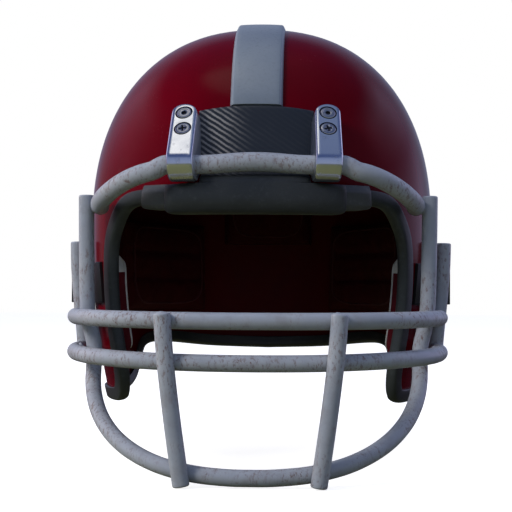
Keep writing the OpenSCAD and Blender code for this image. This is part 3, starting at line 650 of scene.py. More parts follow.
def shell():
    """The moulding, with its ear holes."""
    outer, top = shell_points(0.0)
    inner, under = shell_points(-WALL)
    rows, columns = outer.shape[:2]
    count = rows * columns
    points = np.vstack([outer.reshape(-1, 3), [top], inner.reshape(-1, 3), [under]])
    start = count + 1
    faces = grid_faces(rows, columns, 0, wrap_columns=True)
    faces += grid_faces(rows, columns, start, wrap_columns=True)
    for j in range(columns):
        k = (j + 1) % columns
        faces += [[count, k, j], [start + count, start + j, start + k]]
        a, b = count - columns + j, count - columns + k
        faces.append([a, b, start + b, start + a])
    piece = outside_out(add_mesh("shell_moulding", points, faces))
    places = [sideways(side, [side * SHELL_W / 2, CENTRE_Y + EAR_BACK, EAR_Z]) for side in SIDES.values()]
    cut(piece, [plug(place, EAR_D / 2, -40, 40, 64) for place in places])
    shade_by_form(piece)
    dress(piece, "shell", [RED, RED_IN])


def shade_by_form(piece):
    """Sets exact normals on both faces of the wall, and marks the inner face's material."""
    mesh = piece.data
    where = np.empty(len(mesh.vertices) * 3, np.float32)
    mesh.vertices.foreach_get("co", where)
    where = where.reshape(-1, 3) / MM - CENTRE
    form = outward(where)
    off = np.linalg.norm(where, axis=1) - reach(where)
    normals = []
    for poly in mesh.polygons:
        index = list(poly.vertices)
        out = float(np.dot(form[index].mean(0), poly.normal))
        poly.material_index = int(out < -FACING_OUT)
        if out > FACING_OUT and off[index].mean() > -WALL * 0.6:
            normals += form[index].tolist()
        elif out < -FACING_OUT:
            normals += (-form[index]).tolist()
        else:
            normals += [tuple(poly.normal)] * len(index)
    mesh.normals_split_custom_set(normals)


def ways_along(line):
    """Directions along a closed line on the shell, and across it beside the shell."""
    along = one_long(np.roll(line, -1, 0) - np.roll(line, 1, 0))
    return along, one_long(np.cross(along, outward(line - CENTRE)))


def swept_edge(name, section):
    """A closed band that follows the shell's edge; section rows are (beyond the edge, height)."""
    line = skin(EDGE_DIRS, 0.0)
    out = ways_along(line)[1]
    beyond, high = np.array(section).T
    rings = skin(line[:, None] + beyond[None, :, None] * out[:, None] - CENTRE, high)
    return loft(name, rings, closed=True)


def arc(cx, cy, r, a0, a1, n):
    """Points of an arc, angles in degrees."""
    return [(cx + r * x, cy + r * y) for x, y in map(unit, np.linspace(a0, a1, n))]


def edge_trim():
    lip, land, inside = 0.55, -3.0, -TRIM_LAP + 1
    top, low, seat = SEAT_GAP + TRIM_T, -WALL - SEAT_GAP - TRIM_T, -WALL - SEAT_GAP
    nose = (top - low) / 2
    section = [(-TRIM_LAP, SEAT_GAP)] + arc(-TRIM_LAP + lip, top - lip, lip, 180, 90, 4)
    section += [(-TRIM_LAP + 2.2, top + 0.12), (land, top + 0.05)]
    section += [(x * TRIM_NOSE / nose + 0.02, y) for x, y in arc(0, (top + low) / 2, nose, 84, -84, 11)]
    section += [(land, low), (inside + 0.5, low)] + arc(inside + lip, low + lip, lip, 270, 180, 3)
    section += [(inside, seat), (SEAT_GAP, seat), (SEAT_GAP, SEAT_GAP)]
    piece = sharpen(swept_edge("edge_trim_channel", section), 50)
    dress(piece, "edge_trim", [TRIM_RUBBER])


STRIPE_END_TILT = 204.0
STRIPE_BEVEL = 2.2
STRIPE_ROWS = 120


def centre_stripe():
    start = math.degrees(math.atan((PANEL_TOP + 2 - SHELL_LEVEL) / (SHELL_FRONT - 12)))
    w, h, shoulder = STRIPE_W / 2, STRIPE_H, STRIPE_BEVEL - STRIPE_W / 2
    half = [(-w, SEAT_GAP), (-w + 0.25, 0.9), (shoulder - 0.8, h - 0.75)]
    half += [(shoulder - 0.25, h - 0.25), (shoulder + 0.5, h - 0.02)]
    half += [(x, h) for x in np.linspace(-w + 5, 0, 5)]
    section = half + [(-x, y) for x, y in half[-2::-1]]
    x, y = np.array(section + [(x, SEAT_GAP) for x in np.linspace(w - 1, -w + 1, 6)]).T
    low = SEAT_GAP + (y - SEAT_GAP) * 0.75
    rings = []
    for i, tilt in enumerate(np.linspace(start, STRIPE_END_TILT, STRIPE_ROWS)):
        rings.append(skin(over(x, tilt), low if i in (0, STRIPE_ROWS - 1) else y))
    piece = sharpen(loft("centre_stripe_band", rings), 50)
    dress(piece, "centre_stripe", [STRIPE_PAINT])


# Brow sleeve and bumper

SLEEVE_GAP, SLEEVE_FOLD, ROLL_GAP = 0.8, 0.6, 1.1
OVER_TRIM = SEAT_GAP + TRIM_T + SLEEVE_GAP
SLEEVE_LOW = BROW_Z - BROW_DIP - TRIM_NOSE - SLEEVE_GAP
SLEEVE_TOP = BROW_Z + TRIM_LAP + 2
BUMPER_BACK = OVER_TRIM + SLEEVE_T + SEAT_GAP
BUMPER_FLOOR = SLEEVE_LOW - SLEEVE_T - SLEEVE_FOLD - 2 * SEAT_GAP
BUMPER_NECK = BROW_BAR_Z - BROW_BAR_R - ROLL_GAP
PANEL_WAIST = BUMPER_NECK + 4.5
ROLL_TOP = BROW_BAR_Z - LOOP_R - ROLL_GAP
PANEL_ARCH = 3.2


def rounded(profile, radius, steps=3):
    """The profile's corners cut to arcs; rows are (height, z)."""
    p = np.asarray(profile, float)
    out = []
    for a, b, c in zip(np.roll(p, 1, 0), p, np.roll(p, -1, 0)):
        u, v = a - b, c - b
        r = min(radius, 0.45 * np.linalg.norm(u), 0.45 * np.linalg.norm(v))
        q0, q1 = b + one_long(u) * r, b + one_long(v) * r
        for t in np.linspace(0, 1, steps):
            out.append((1 - t) ** 2 * q0 + 2 * t * (1 - t) * b + t * t * q1)
    return np.array(out)


def eased(count):
    """Numbers from -1 to 1, closer near both ends."""
    return np.sin(np.linspace(-1, 1, count) * math.pi / 2)


def across_brow(steps):
    """Places from -1 to 1 across a band on the brow, closer near its ends, and its fullness there."""
    for v in eased(steps):
        yield v, 0.35 + 0.65 * math.sqrt(max(1 - abs(v) ** 14, 0))


def drawn_in(values, limit, k, above):
    """The values beyond the limit, brought nearer to it by the factor k."""
    beyond = values > limit if above else values < limit
    return np.where(beyond, limit + (values - limit) * k, values)


def brow_azimuth(half_w):
    """The azimuth on the brow that lies half_w beside the middle plane."""
    return np.degrees(np.arcsin(half_w / SHELL_FRONT))


def brow_sleeve():
    """A strip folded round the trimmed edge, thinner towards its ends."""
    inner, far = -WALL - OVER_TRIM, OVER_TRIM + SLEEVE_T
    fold, inside_top = SLEEVE_LOW - SLEEVE_T - SLEEVE_FOLD, BROW_Z + 3
    high, z = rounded([
        (SEAT_GAP, SLEEVE_TOP), (SEAT_GAP + SLEEVE_T / 2, SLEEVE_TOP), (far, BROW_Z + TRIM_LAP - 3),
        (far, SLEEVE_LOW - 0.5), (OVER_TRIM, fold), (inner, fold), (inner - SLEEVE_T, SLEEVE_LOW),
        (inner - SLEEVE_T, inside_top), (inner, inside_top), (inner, SLEEVE_LOW), (OVER_TRIM, SLEEVE_LOW),
        (OVER_TRIM, SLEEVE_TOP - 1.2), (SEAT_GAP, SLEEVE_TOP - 0.6)], 0.9).T
    rings = []
    for v, k in across_brow(60):
        way = toward(-v * brow_azimuth(SLEEVE_W / 2), drawn_in(z, SLEEVE_LOW, k, above=False))
        rings.append(skin(way, drawn_in(high, OVER_TRIM, k, above=True)))
    piece = sharpen(loft("brow_sleeve_rubber", rings), 50)
    dress(piece, "brow_sleeve", [SLEEVE_RUBBER])


def bumper_rows():
    """The front and the back of the bumper from the top down, as height, z and half width."""
    face, back, neck, top = SEAT_GAP + PANEL_T, BUMPER_BACK, BUMPER_NECK, ROLL_TOP
    low, floor_z = BROW_Z - ROLL_DROP, BUMPER_FLOOR
    lip = SLEEVE_TOP + 2 * SEAT_GAP
    p, w, t = PANEL_W / 2, ROLL_W / 2, ROLL_T

    def panel(h, z):
        return h, z, p + PANEL_FLARE * (z - PANEL_WAIST) / (PANEL_TOP - PANEL_WAIST)
    heights = list(np.linspace(PANEL_TOP - 3, PANEL_WAIST, 12))
    brim = [PANEL_TOP, PANEL_TOP - 0.5, PANEL_TOP - 1.7]
    front = [panel(h, z) for h, z in zip((face - 1.3, face - 0.4, face), brim)]
    front += [panel(face, z) for z in heights]
    front += [(face + 1.2, neck + 1.6, p), (back + 1.9, neck, p)]
    front += [(t - h, neck - z, p) for h, z in ((4, 0.1), (1.6, 0.9), (0.5, 2.2), (0.05, 4))] + [(t, top, p)]
    front += [(t - h, top - z, w) for h, z in ((2.2, 0.5), (0.8, 1.6), (0.1, 3.4), (0, 5.4))]
    belly = ((0.1, 9), (0.6, 6), (1.8, 3.4), (3.6, 1.5), (6, 0.4), (8.5, 0))
    front += [(t - h, low + z, w) for h, z in belly]
    front += [(2, low + 0.1, w), (-2, low + 0.6, w)]
    rear = [panel(SEAT_GAP, z) for z in brim + heights]
    rear += [(SEAT_GAP, lip + 3, p), (SEAT_GAP, lip + 2.5, p), (1.5, top + 3.2, p), (3, top + 2.4, p)]
    rear += [(back, top + z, p) for z in (1.5, 0.8, 0)] + [(back, top - z, w) for z in (0.6, 1.6, 3.4, 5.4)]
    rear += [(back, low + z, w) for z in (9, 7, 5.5)]
    rear += [(h, floor_z, w) for h in (back, back - 1.5, back - 3, 0, -4)]
    return np.array(front), np.array(rear)


def front_bumper():
    front, rear = bumper_rows()
    front_high, z, half = np.vstack([front, rear[::-1]]).T
    shoulder = (half > PANEL_W / 2 + PANEL_FLARE) & (z > ROLL_TOP - 6) & (front_high > BUMPER_BACK + 1)
    rings = []
    for v, k in across_brow(100):
        arch = PANEL_ARCH * (0.25 - v * v) * np.clip((z - PANEL_WAIST) / (PANEL_TOP - PANEL_WAIST), 0, 1) ** 2
        # between the loops the roll's front runs up to the brow bar without a step
        beyond = np.clip((abs(v) * half - PANEL_W / 2) / 5, 0, 1)
        high = np.where(shoulder, ROLL_T + (front_high - ROLL_T) * beyond, front_high)
        level = np.where(z < BUMPER_FLOOR, drawn_in(z, BUMPER_FLOOR, k, above=False), z + arch)
        rings.append(skin(toward(-v * brow_azimuth(half), level), drawn_in(high, BUMPER_BACK, k, above=True)))
    rings = np.array(rings)
    count, columns = rings.shape[:2]
    faces = grid_faces(count, columns, wrap_columns=True)
    far = (count - 1) * columns
    for j in range(columns // 2 - 1):
        quad = [j, j + 1, columns - 2 - j, columns - 1 - j]
        faces += [quad[::-1], [far + i for i in quad]]
    piece = sharpen(outside_out(add_mesh("front_bumper_rubber", rings.reshape(-1, 3), faces)), 50)
    for poly in piece.data.polygons:
        poly.material_index = int(poly.center.z / MM > BROW_BAR_Z - BROW_BAR_R - 1)
    dress(piece, "front_bumper", [ROLL_RUBBER, PANEL_TWILL])


# Pads

PAD_LAY = -WALL - 1.2
PAD_RIM = 0.24


def crown_at(u, v):
    """How far a pad is crowned at u and v, from 0 at its rim to 1 in its middle."""
    return (1 - np.abs(u) ** 6) ** 0.5 * (1 - np.abs(v) ** 6) ** 0.5


def cushion(name, lay, cells, thick, channels, lit_corner):
    """A padded cell: crowned between its seams, drawn in at the rim and along sewn channels."""
    n, m = cells
    u, v = np.meshgrid(eased(n + 1), eased(m + 1), indexing="ij")
    crown = crown_at(u, v)
    for c in channels:
        crown = crown * (1 - 0.34 * np.exp(-((v - c) / 0.07) ** 2))
    ripple = 0.012 * np.sin(u * 19 + v * 7) * np.sin(v * 23 - u * 5)
    height = PAD_RIM + (1 - PAD_RIM) * crown + ripple * crown
    points = np.vstack([skin(lay(u, v), off).reshape(-1, 3) for off in (PAD_LAY - thick * height, PAD_LAY)])
    columns, count = m + 1, (n + 1) * (m + 1)
    faces = grid_faces(n + 1, columns) + grid_faces(n + 1, columns, count)
    in_front = len(faces) // 2
    rim = list(range(columns)) + [i * columns + m for i in range(1, n + 1)]
    rim += [n * columns + j for j in range(m - 1, -1, -1)] + [i * columns for i in range(n - 1, 0, -1)]
    faces += [[a, b, b + count, a + count] for a, b in zip(rim, rim[1:] + rim[:1])]
    piece = outside_out(add_mesh(name, points, faces))
    if lit_corner:
        # the pale second material at the top of the front edge: a painted highlight on the lit edge
        for i, poly in enumerate(piece.data.polygons):
            poly.material_index = int(i < in_front and u[i // m, 0] < -0.55 and v[0, i % m] > 0.62)
    return sharpen(piece, 60)


def welt(name, lay, thick, material, r=0.75):
    """Round piping sewn on a pad, along the crest of its edge. lay gives directions for u and v."""
    out, squareness = 0.885, 0.4
    u, v = (out * np.sign(w) * np.abs(w) ** squareness for w in (np.cos(around(160)), np.sin(around(160))))
    line = skin(lay(u, v), PAD_LAY - thick * (PAD_RIM + (1 - PAD_RIM) * crown_at(u, v)))
    line = spaced(np.vstack([line, line[:1]]), 151)[:-1]
    along, side = ways_along(line)
    rows = [(p, s, o, r) for p, s, o in zip(line, side, np.cross(side, along))]
    dress(loft(name, rings_round(rows, 10), closed=True), None, [material])


def wall_patch(a0, a1, z0, z1):
    """Directions from the azimuth a0 to a1 and from the height z0 to z1, for u and v from -1 to 1."""
    return lambda u, v: toward(a0 + (a1 - a0) * (1 + u) / 2, z0 + (z1 - z0) * (1 + v) / 2)


def crown_patch(w, t0, t1):
    """Directions w to each side of the middle plane and from the tilt t0 to t1, for u and v."""
    return lambda u, v: over(w * u, t0 + (t1 - t0) * (1 + v) / 2)


def pads():
    plans = [
        ("forehead_pad", wall_patch(-34, 34, 180, 222), (60, 36), 14.0, []),
        ("crown_pad", crown_patch(52, 52, 130), (60, 64), 18.0, [-0.35, 0.35]),
        ("back_pad", crown_patch(38, 139, 182), (48, 40), 15.0, [0]),
    ]
    for word, side in SIDES.items():
        plans += [
            (f"{word}_temple_pad", wall_patch(60 * side, 100 * side, 142, 206), (40, 48), 11.0, [0]),
            (f"{word}_side_pad", wall_patch(111 * side, 158 * side, 99, 168), (56, 48), 15.0, [-0.3, 0.3]),
            (f"{word}_jaw_pad", wall_patch((CHEEK_A + 5) * side, 74 * side, 68, 138), (36, 60), 13.5, []),
        ]
    for node, lay, cells, thick, channels in plans:
        jaw = "jaw" in node
        # the jaw pads' piping is pale: a painted highlight
        cover, piping = (JAW_CLOTH, PIPING_HIGHLIGHT) if jaw else (PAD_CLOTH, PAD_WELT)
        piece = cushion(node + "_cushion", lay, cells, thick, channels, jaw)
        dress(piece, node, [cover, piping] if jaw else [cover])
        welt(node + "_piping", lay, thick, piping)


# Face guard

JAW_LOW_X, JAW_ROUND = JAW_TOP_X - 6.4, 1.9
UPRIGHT_TOP_Z = UPPER_Z + BAR_R - 0.5
UPRIGHT_FOOT_Z = 0.8


def cross_y(x):
    """Where the cross bars' middle line lies at x."""
    bow = (1 - np.abs(x / CROSS_X) ** CROSS_POWER) ** (1 / CROSS_POWER)
    return CENTRE_Y - (POST_Y + (CROSS_REACH - POST_Y) * bow)


def jaw_y(x):
    """Where the jaw bar's middle line lies at x."""
    bow = (1 - np.abs(x / JAW_LOW_X) ** JAW_BOW) ** (1 / JAW_ROUND)
    return CENTRE_Y - (JAW_SIDE_Y + (JAW_REACH - JAW_SIDE_Y) * bow)


def whole(half):
    """Both halves of a line whose right half starts on the middle plane."""
    half = np.asarray(half, float)
    return np.vstack([(half * [-1, 1, 1])[:0:-1], half])


def tube(name, line, r, count):
    """A round bar along a line, with rounded ends."""
    line = spaced(smooth_line(line, 6), count)
    along = one_long(np.gradient(line, axis=0))
    side = np.cross(along[0], [0.0, 0.31, 0.95])
    across = []
    for t in along:
        side = one_long(side - t * np.dot(side, t))
        across.append((side, np.cross(side, t)))
    e = 1.2
    ends = [(0.0, r - e)]
    ends += [(e * (1 - math.cos(a)), r - e + e * math.sin(a)) for a in np.linspace(0.3, math.pi / 2, 5)]
    rows = [(line[0] + along[0] * d, *across[0], end_r) for d, end_r in ends]
    rows += [(p, *way, r) for p, way in zip(line[1:-1], across[1:-1])]
    rows += [(line[-1] - along[-1] * d, *across[-1], end_r) for d, end_r in ends[::-1]]
    return loft(name, rings_round(rows, 28))


def bead(centre, towards, wide, high, seed):
    """A weld between two bars: a low lump, a little uneven, squeezed along towards."""
    b = (np.arange(1, 12) * math.pi / 12)[:, None]
    a = around(20)
    k = 1 + 0.05 * np.sin(3 * a + seed) + 0.04 * np.sin(5 * b + 2 * a + seed)
    rings = np.stack([wide * k * np.sin(b) * np.cos(a), wide * k * np.sin(b) * np.sin(a),
                      high * np.cos(b) + 0 * a], -1)
    return loft("weld", placed(rings, facing(centre, towards)))


def brow_line():
    """Bowed in the middle, straight in the loops, then round and down to the jaw bar's ends."""
    y, end_y = HINGE_Y, JAW_SIDE_Y - 1
    end_x = JAW_TOP_X - BAR_R - BROW_BAR_R + WELD
    bow_x, straight_x, out = 32, 36, BRACKET_X + BRACKET_W / 2 + 1.5
    half = []
    for x in np.linspace(0, bow_x, 7):
        bow = (1 - (x / bow_x) ** 2) ** 2
        half.append((x, y - 0.9 * bow, BROW_BAR_Z + 1.7 * bow))
    half += [(x, y, BROW_BAR_Z) for x in np.linspace(straight_x, out, 5)]
    for a in np.radians([2.5, 5, 7.5, 10, 12.5, 16, 20, 26, 33, 42, 52, 64, 77, 90]):
        u = math.sin(a)
        step = min(u / 0.22, 1)
        fall = 3.2 * step ** 2 * (3 - 2 * step) + 18.8 * u ** 1.9
        back = (BROW_BAR_REACH - end_y) * (1 - math.cos(a))
        half.append((out + (end_x - out) * u, y + back, BROW_BAR_Z - fall))
    return whole(half)


def cross_line(z, lift):
    """A cross bar's middle line."""
    half = []
    for a in np.radians([0, 6, 13, 21, 30, 39, 48, 57, 66, 75, 83]):
        x = CROSS_X * math.sin(a) ** (2 / CROSS_POWER)
        half.append((x, cross_y(x), z + lift * (x / CROSS_X) ** 2))
    half.append((CROSS_X, POST_AT - BAR_R + WELD / 2, z + lift))
    return whole(half)


def jaw_line():
    """The jaw bar's middle line: round the chin, then up to the brow bar."""
    low_x, y = JAW_LOW_X, JAW_AT
    half = []
    for a in np.radians([0, 5, 14, 24, 33, 42, 51, 60, 68, 75, 81, 86]):
        x = low_x * math.sin(a) ** (2 / JAW_POWER)
        half.append((x, jaw_y(x), JAW_KNEE - (JAW_KNEE - JAW_Z) * math.cos(a) ** (2 / JAW_POWER)))
    half += [(low_x + 0.4, y, JAW_KNEE + 7), (JAW_TOP_X - 1.7, y, JAW_KNEE + 29),
             (JAW_TOP_X - 0.5, y, JAW_TOP_Z - 38), (JAW_TOP_X, y, JAW_TOP_Z)]
    return whole(half)


def upright_x(z):
    """The upright's middle, beside the middle plane, at the height z."""
    return UPRIGHT_TOP_X - (UPRIGHT_TOP_X - UPRIGHT_FOOT_X) * (1 - z / UPRIGHT_TOP_Z) ** UPRIGHT_CURVE


def upright_line(side):
    """An upright's middle line, in front of the bars that it joins."""
    out = 2 * BAR_R - WELD
    low_y = cross_y(upright_x(LOWER_Z)) - out
    foot_y = jaw_y(UPRIGHT_FOOT_X) - out
    line = []
    for z in np.linspace(UPRIGHT_TOP_Z, UPRIGHT_FOOT_Z, 8):
        x = upright_x(z)
        y = cross_y(x) - out if z > LOWER_Z else foot_y + (low_y - foot_y) * z / LOWER_Z
        line.append((side * x, y, z))
    return line


def guard():
    def bar(node, line, r, count):
        dress(tube(node + "_rod", line, r, count), node, [GUARD_PAINT], "face_guard")
    bar("brow_bar", brow_line(), BROW_BAR_R, 120)
    bar("jaw_bar", jaw_line(), BAR_R, 200)
    bar("upper_bar", cross_line(UPPER_Z, UPPER_LIFT), BAR_R, 160)
    bar("lower_bar", cross_line(LOWER_Z, LOWER_LIFT), BAR_R, 160)
    for word, side in SIDES.items():
        bar(f"{word}_upright", upright_line(side), BAR_R, 40)
        post = [(side * (CROSS_X + o), POST_AT, z) for o, z in POST_LINE]
        bar(f"{word}_side_post", post, BAR_R, 30)
    piece = joined("guard_welds", [b for side in SIDES.values() for b in welds(side)])
    dress(piece, None, [GUARD_PAINT], "face_guard")


def welds(side):
    """The beads on one side of the guard."""
    made = []
    touch = BAR_R - WELD / 2
    for z in (UPPER_Z, LOWER_Z):
        x = upright_x(z)
        made.append(bead((side * x, cross_y(x) - touch, z), (side * 0.15, -1, 0), 5.6, 2.2, z))
    foot = (side * (UPRIGHT_FOOT_X + 1), jaw_y(UPRIGHT_FOOT_X) - touch, 8.0)
    made.append(bead(foot, (0, -1, 0), 5.6, 2.2, side))
    for z in (UPPER_Z + 1, LOWER_Z + 3):
        jaw = (side * (JAW_TOP_X + 2.6), JAW_AT - 1, z)
        made.append(bead(jaw, (side, -0.2, 0), 5.4, 2.4, z + side))
        made.append(bead((side * CROSS_X, POST_AT - BAR_R, z), (0, -1, 0.05), 4.8, 1.6, z - side))
    brow = (side * (JAW_TOP_X - BAR_R + 0.6), JAW_AT + 0.5, BROW_BAR_Z - 22)
    made.append(bead(brow, (side, 0, 0), 5.2, 2.4, side))
    return made


# Brackets and their fasteners

FACE_X = BRACKET_X + 1.1
TURN_SLOPE = math.tan(math.radians(BRACKET_TURN))
HEAD_R, HEAD_HIGH = 4.75, 1.5
SHANK_END, NUT_GAP = 0.8, 0.8
NUT_OUT = WALL + NUT_GAP + 3.2


def face_way(side):
    """The direction that a bracket's face looks in."""
    t, f = math.radians(BRACKET_TURN), math.radians(FACE_TILT)
    return np.array([side * math.sin(t) * math.cos(f), -math.cos(t) * math.cos(f), math.sin(f)])


def face_point(side, z):
    """The middle of a bracket's face at the height z."""
    n = face_way(side)
    y = HINGE_Y + (LOOP_R - (z - BROW_BAR_Z) * n[2]) / n[1]
    return np.array([side * FACE_X, y + (FACE_X - BRACKET_X) * TURN_SLOPE, z])


def bracket_seat(side):
    """Where the bracket's back lies on the shell, and the shell's outward direction there."""
    z = 0.5 * (RIVET_Z + SCREW_Z)
    k = plan_at(z) - abs(BRACKET_X / (SHELL_W / 2)) ** PLAN_POWER
    p = np.array([side * BRACKET_X, CENTRE_Y - SHELL_FRONT * k ** (1 / PLAN_POWER), z])
    return p, outward(p - CENTRE)


def behind_face(side, z):
    """Depth of the shell behind the bracket's face, along the fastener."""
    face, n = face_point(side, z), face_way(side)

    def depth(p):
        s = outward(p - CENTRE)
        return float((face - p) @ s / (n @ s))
    first = depth(bracket_seat(side)[0])
    return depth(skin(face - first * n - CENTRE, 0.0))


def bracket_profile(face_top, u, half):
    """A bracket's outline, ahead and up from the brow bar, u beside the middle of its width."""
    edge_r, corner = 1.5, 1.2
    deep = max(0.0, abs(u) - (half - edge_r))
    inset = edge_r - math.sqrt(max(edge_r ** 2 - deep ** 2, 0))
    rise = math.sqrt(max((half - inset * 0.4) ** 2 - min(abs(u), half) ** 2, 0))
    down, out = unit(FACE_TILT - 90), unit(FACE_TILT)
    tip = face_top - down * rise
    turn = tip - out * (corner + inset) + down * corner
    profile = [tip - out * (14 + inset), tip - out * (corner + inset)]
    profile += [turn + corner * (out * s - down * c) for c, s in map(unit, (22.5, 45, 67.5, 90))]
    profile += [(LOOP_R - inset) * unit(a) for a in np.linspace(FACE_TILT, -140, 34)]
    return profile + [np.array([-14.0, -2.0]), np.array([-24.0, 12.0])]


def bracket_axis(side):
    """The direction across a bracket."""
    c, s = unit(BRACKET_TURN)
    return np.array([c, side * s, 0.0])


def bracket_hub(side):
    """The middle of a bracket's loop."""
    return np.array([side * BRACKET_X, HINGE_Y, BROW_BAR_Z])


def bracket_block(word, side):
    """A bracket before its cuts: the side profile swept across it."""
    half, edge = BRACKET_W / 2, (0, 0.18, 0.6, 1.5)
    axis, hub, up = bracket_axis(side), bracket_hub(side), np.array([0, 0, 1.0])
    fore = np.array([axis[1], -axis[0], 0.0])
    to_top = face_point(side, RIVET_Z) - hub
    face_top = np.array([to_top @ fore, to_top @ up])
    slide = side * (FACE_X - BRACKET_X) - side * TURN_SLOPE * face_top[0]
    stations = [e - half for e in edge] + list(np.linspace(-half + 3, half - 3, 9))
    stations += [half - e for e in edge[::-1]]
    rows = []
    for u in stations:
        rows.append([hub + axis * (u + slide * min(max(q[1] / face_top[1], 0), 1.2)) + fore * q[0] + up * q[1]
                     for q in bracket_profile(face_top, u, half)])
    return loft(word + "_bracket_block", rows)


def bracket_cutters(side, heads):
    """Cutters for a bracket's back, its loop's bore and the places of its two heads."""
    seat, seat_n = bracket_seat(side)
    lying = facing(seat + seat_n * (SEAT_GAP - 40), seat_n)
    square = ((-60, -60), (60, -60), (60, 60), (-60, 60))
    back = box("cutter", placed([(x, y, z) for z in (0, 40) for x, y in square], lying))
    bore = plug(sideways(1, bracket_hub(side)), BROW_BAR_R + HINGE_GAP, -30, 30, 64)
    return [back, bore] + [plug(head, HEAD_D / 2 + SHANK_GAP, -HEAD_SUNK, 6) for head in heads]


def bracket(word, side):
    """A block whose foot loops round the brow bar, bright in front, and on its sides duller and a lighter
    metal that is painted light from the sky.
    """
    heads = [facing(face_point(side, z), face_way(side)) for z in (RIVET_Z, SCREW_Z)]
    piece = soften(cut(bracket_block(word, side), bracket_cutters(side, heads)), 0.25, 2, 40)
    # faces across the bracket take the lighter side metal: painted light
    for poly in piece.data.polygons:
        poly.material_index = int(abs(np.array(poly.normal) @ bracket_axis(side)) > 0.8)
    # the recesses round the heads take the near-black third material: painted shade
    for head in heads:
        darken(piece, head, HEAD_D / 2 + 0.35, -HEAD_SUNK - 0.2, -0.12, 2)
    dress(piece, word + "_bracket", [BRACKET_METAL, BRACKET_SIDE_LIT, RECESS_SHADE])


def cross_cutter(place, top, depth, size, width):
    """A tapered cross, as a driver leaves in a screw's head."""
    out = []
    for turn in (12, 102):
        c, s = unit(turn)
        points = []
        for z, k in ((top - depth, 0.45), (top + 1, 1.15)):
            for x, y in ((-1, -1), (1, -1), (1, 1), (-1, 1)):
                x, y = x * size / 2 * k, y * width / 2 * (0.7 + 0.3 * k)
                points.append((c * x - s * y, s * x + c * y, z))
        out.append(box("cross_cutter", placed(points, place)))
    return out


def darken(piece, place, radius, low, high, index=1):
    """Gives the faces within a radius of an axis, between two heights, another material."""
    for poly in piece.data.polygons:
        q = (np.array(poly.center) / MM - place[:3, 3]) @ place[:3, :3]
        if math.hypot(q[0], q[1]) < radius and low < q[2] < high:
            poly.material_index = index
    return piece


def screw(place, under, reach_in):
    """Pan head with a cross, on its shank."""
    r, t, top, shank = HEAD_R, HEAD_HIGH, under + HEAD_HIGH, SHANK_D / 2
    head = [(0.0, -reach_in), (shank - 0.4, -reach_in), (shank, -reach_in + 0.5), (shank, under),
            (r - 0.15, under), (r, under + 0.2), (r, under + t * 0.6), (r - 0.2, under + t * 0.8),
            (r - 0.6, under + t * 0.92), (r - 1.6, top), (0.0, top)]
    piece = cut(turned("head", head, place), cross_cutter(place, top, 1.2, 6.0, 1.35))
    # the cross slot is painted near-black: painted shade
    return darken(piece, place, 3.6, top - 1.3, top - 0.03)


def rivet(place, under, reach_in):
    """Hollow rivet with a domed head."""
    r, t, b, top, shank = HEAD_R, HEAD_HIGH, 1.4, under + HEAD_HIGH, SHANK_D / 2
    head = [(b, -reach_in), (shank, -reach_in), (shank, under), (r - 0.15, under), (r, under + 0.2),
            (r, under + t * 0.6), (r - 0.25, under + t * 0.85), (r - 0.8, top), (r - 1.5, top),
            (r - 1.8, top - 0.3), (b + 0.9, top - 0.2), (b + 0.2, top - 0.45), (b, top - 1.0)]
    # the hollow of the rivet is painted near-black: painted shade
    return darken(turned_ring("head", head, place, 48, 40), place, b + 0.5, -99, top - 0.3)


def t_nut(place, low):
    """A round nut inside the shell, its foot at the height low."""
    r, b, top = NUT_D / 2, SHANK_D / 2 + SHANK_GAP, low + NUT_T
    outline = [(b, low), (r - 0.4, low), (r, low + 0.4), (r, top - 0.4), (r - 0.4, top), (b, top)]
    return turned_ring("nut", outline, place, 40, 30)


def bracket_hardware():
    screws, rivets, nuts = [], [], []
    under = SEAT_GAP / 2 - HEAD_SUNK
    for side in SIDES.values():
        for z, made, build in ((SCREW_Z, screws, screw), (RIVET_Z, rivets, rivet)):
            place, deep = facing(face_point(side, z), face_way(side)), behind_face(side, z)
            made.append(build(place, under, deep + NUT_OUT + NUT_T + SHANK_END))
            nuts.append(t_nut(place, -deep - NUT_OUT - NUT_T))
    for node, made, metal in (("bracket_screws", screws, STEEL), ("bracket_rivets", rivets, STEEL),
                              ("bracket_t_nuts", nuts, DARK_STEEL)):
        dress(joined(node + "_set", made), node, [metal, RECESS_SHADE])


# Side clips

CLIP_SCREW_BACK = 22.0
CLIP_HEAD = CLIP_T + SEAT_GAP - 0.2
CLIP_NUT_OUT = WALL + NUT_GAP


def post_x(z):
    """The side post's middle, beside the middle plane, at the height z."""
    offsets, heights = zip(*POST_LINE)
    return CROSS_X + float(np.interp(z, heights, offsets))


def clip_plate(side):
    """A clip's plate, thinner towards its front and back ends."""
    low, top = CLIP_LOW, CLIP_TOP
    rows = []
    for y in np.linspace(CENTRE_Y - 80, CENTRE_Y - 10, 26):
        s = (y - CENTRE_Y + 45) / 35
        t = SEAT_GAP + CLIP_T * (0.45 + 0.55 * math.sqrt(max(1 - abs(s) ** 10, 0)))
        ring = [(low, SEAT_GAP), (top, SEAT_GAP), (top, t - 1.0), (top - 0.3, t - 0.3), (top - 1, t),
                (low + 1, t), (low + 0.3, t - 0.3), (low, t - 1.0)]
        rows.append([skin([side * side_x(y, z), y - CENTRE_Y, z - SHELL_LEVEL], h) for z, h in ring])
    return sharpen(loft("plate", rows), 40)


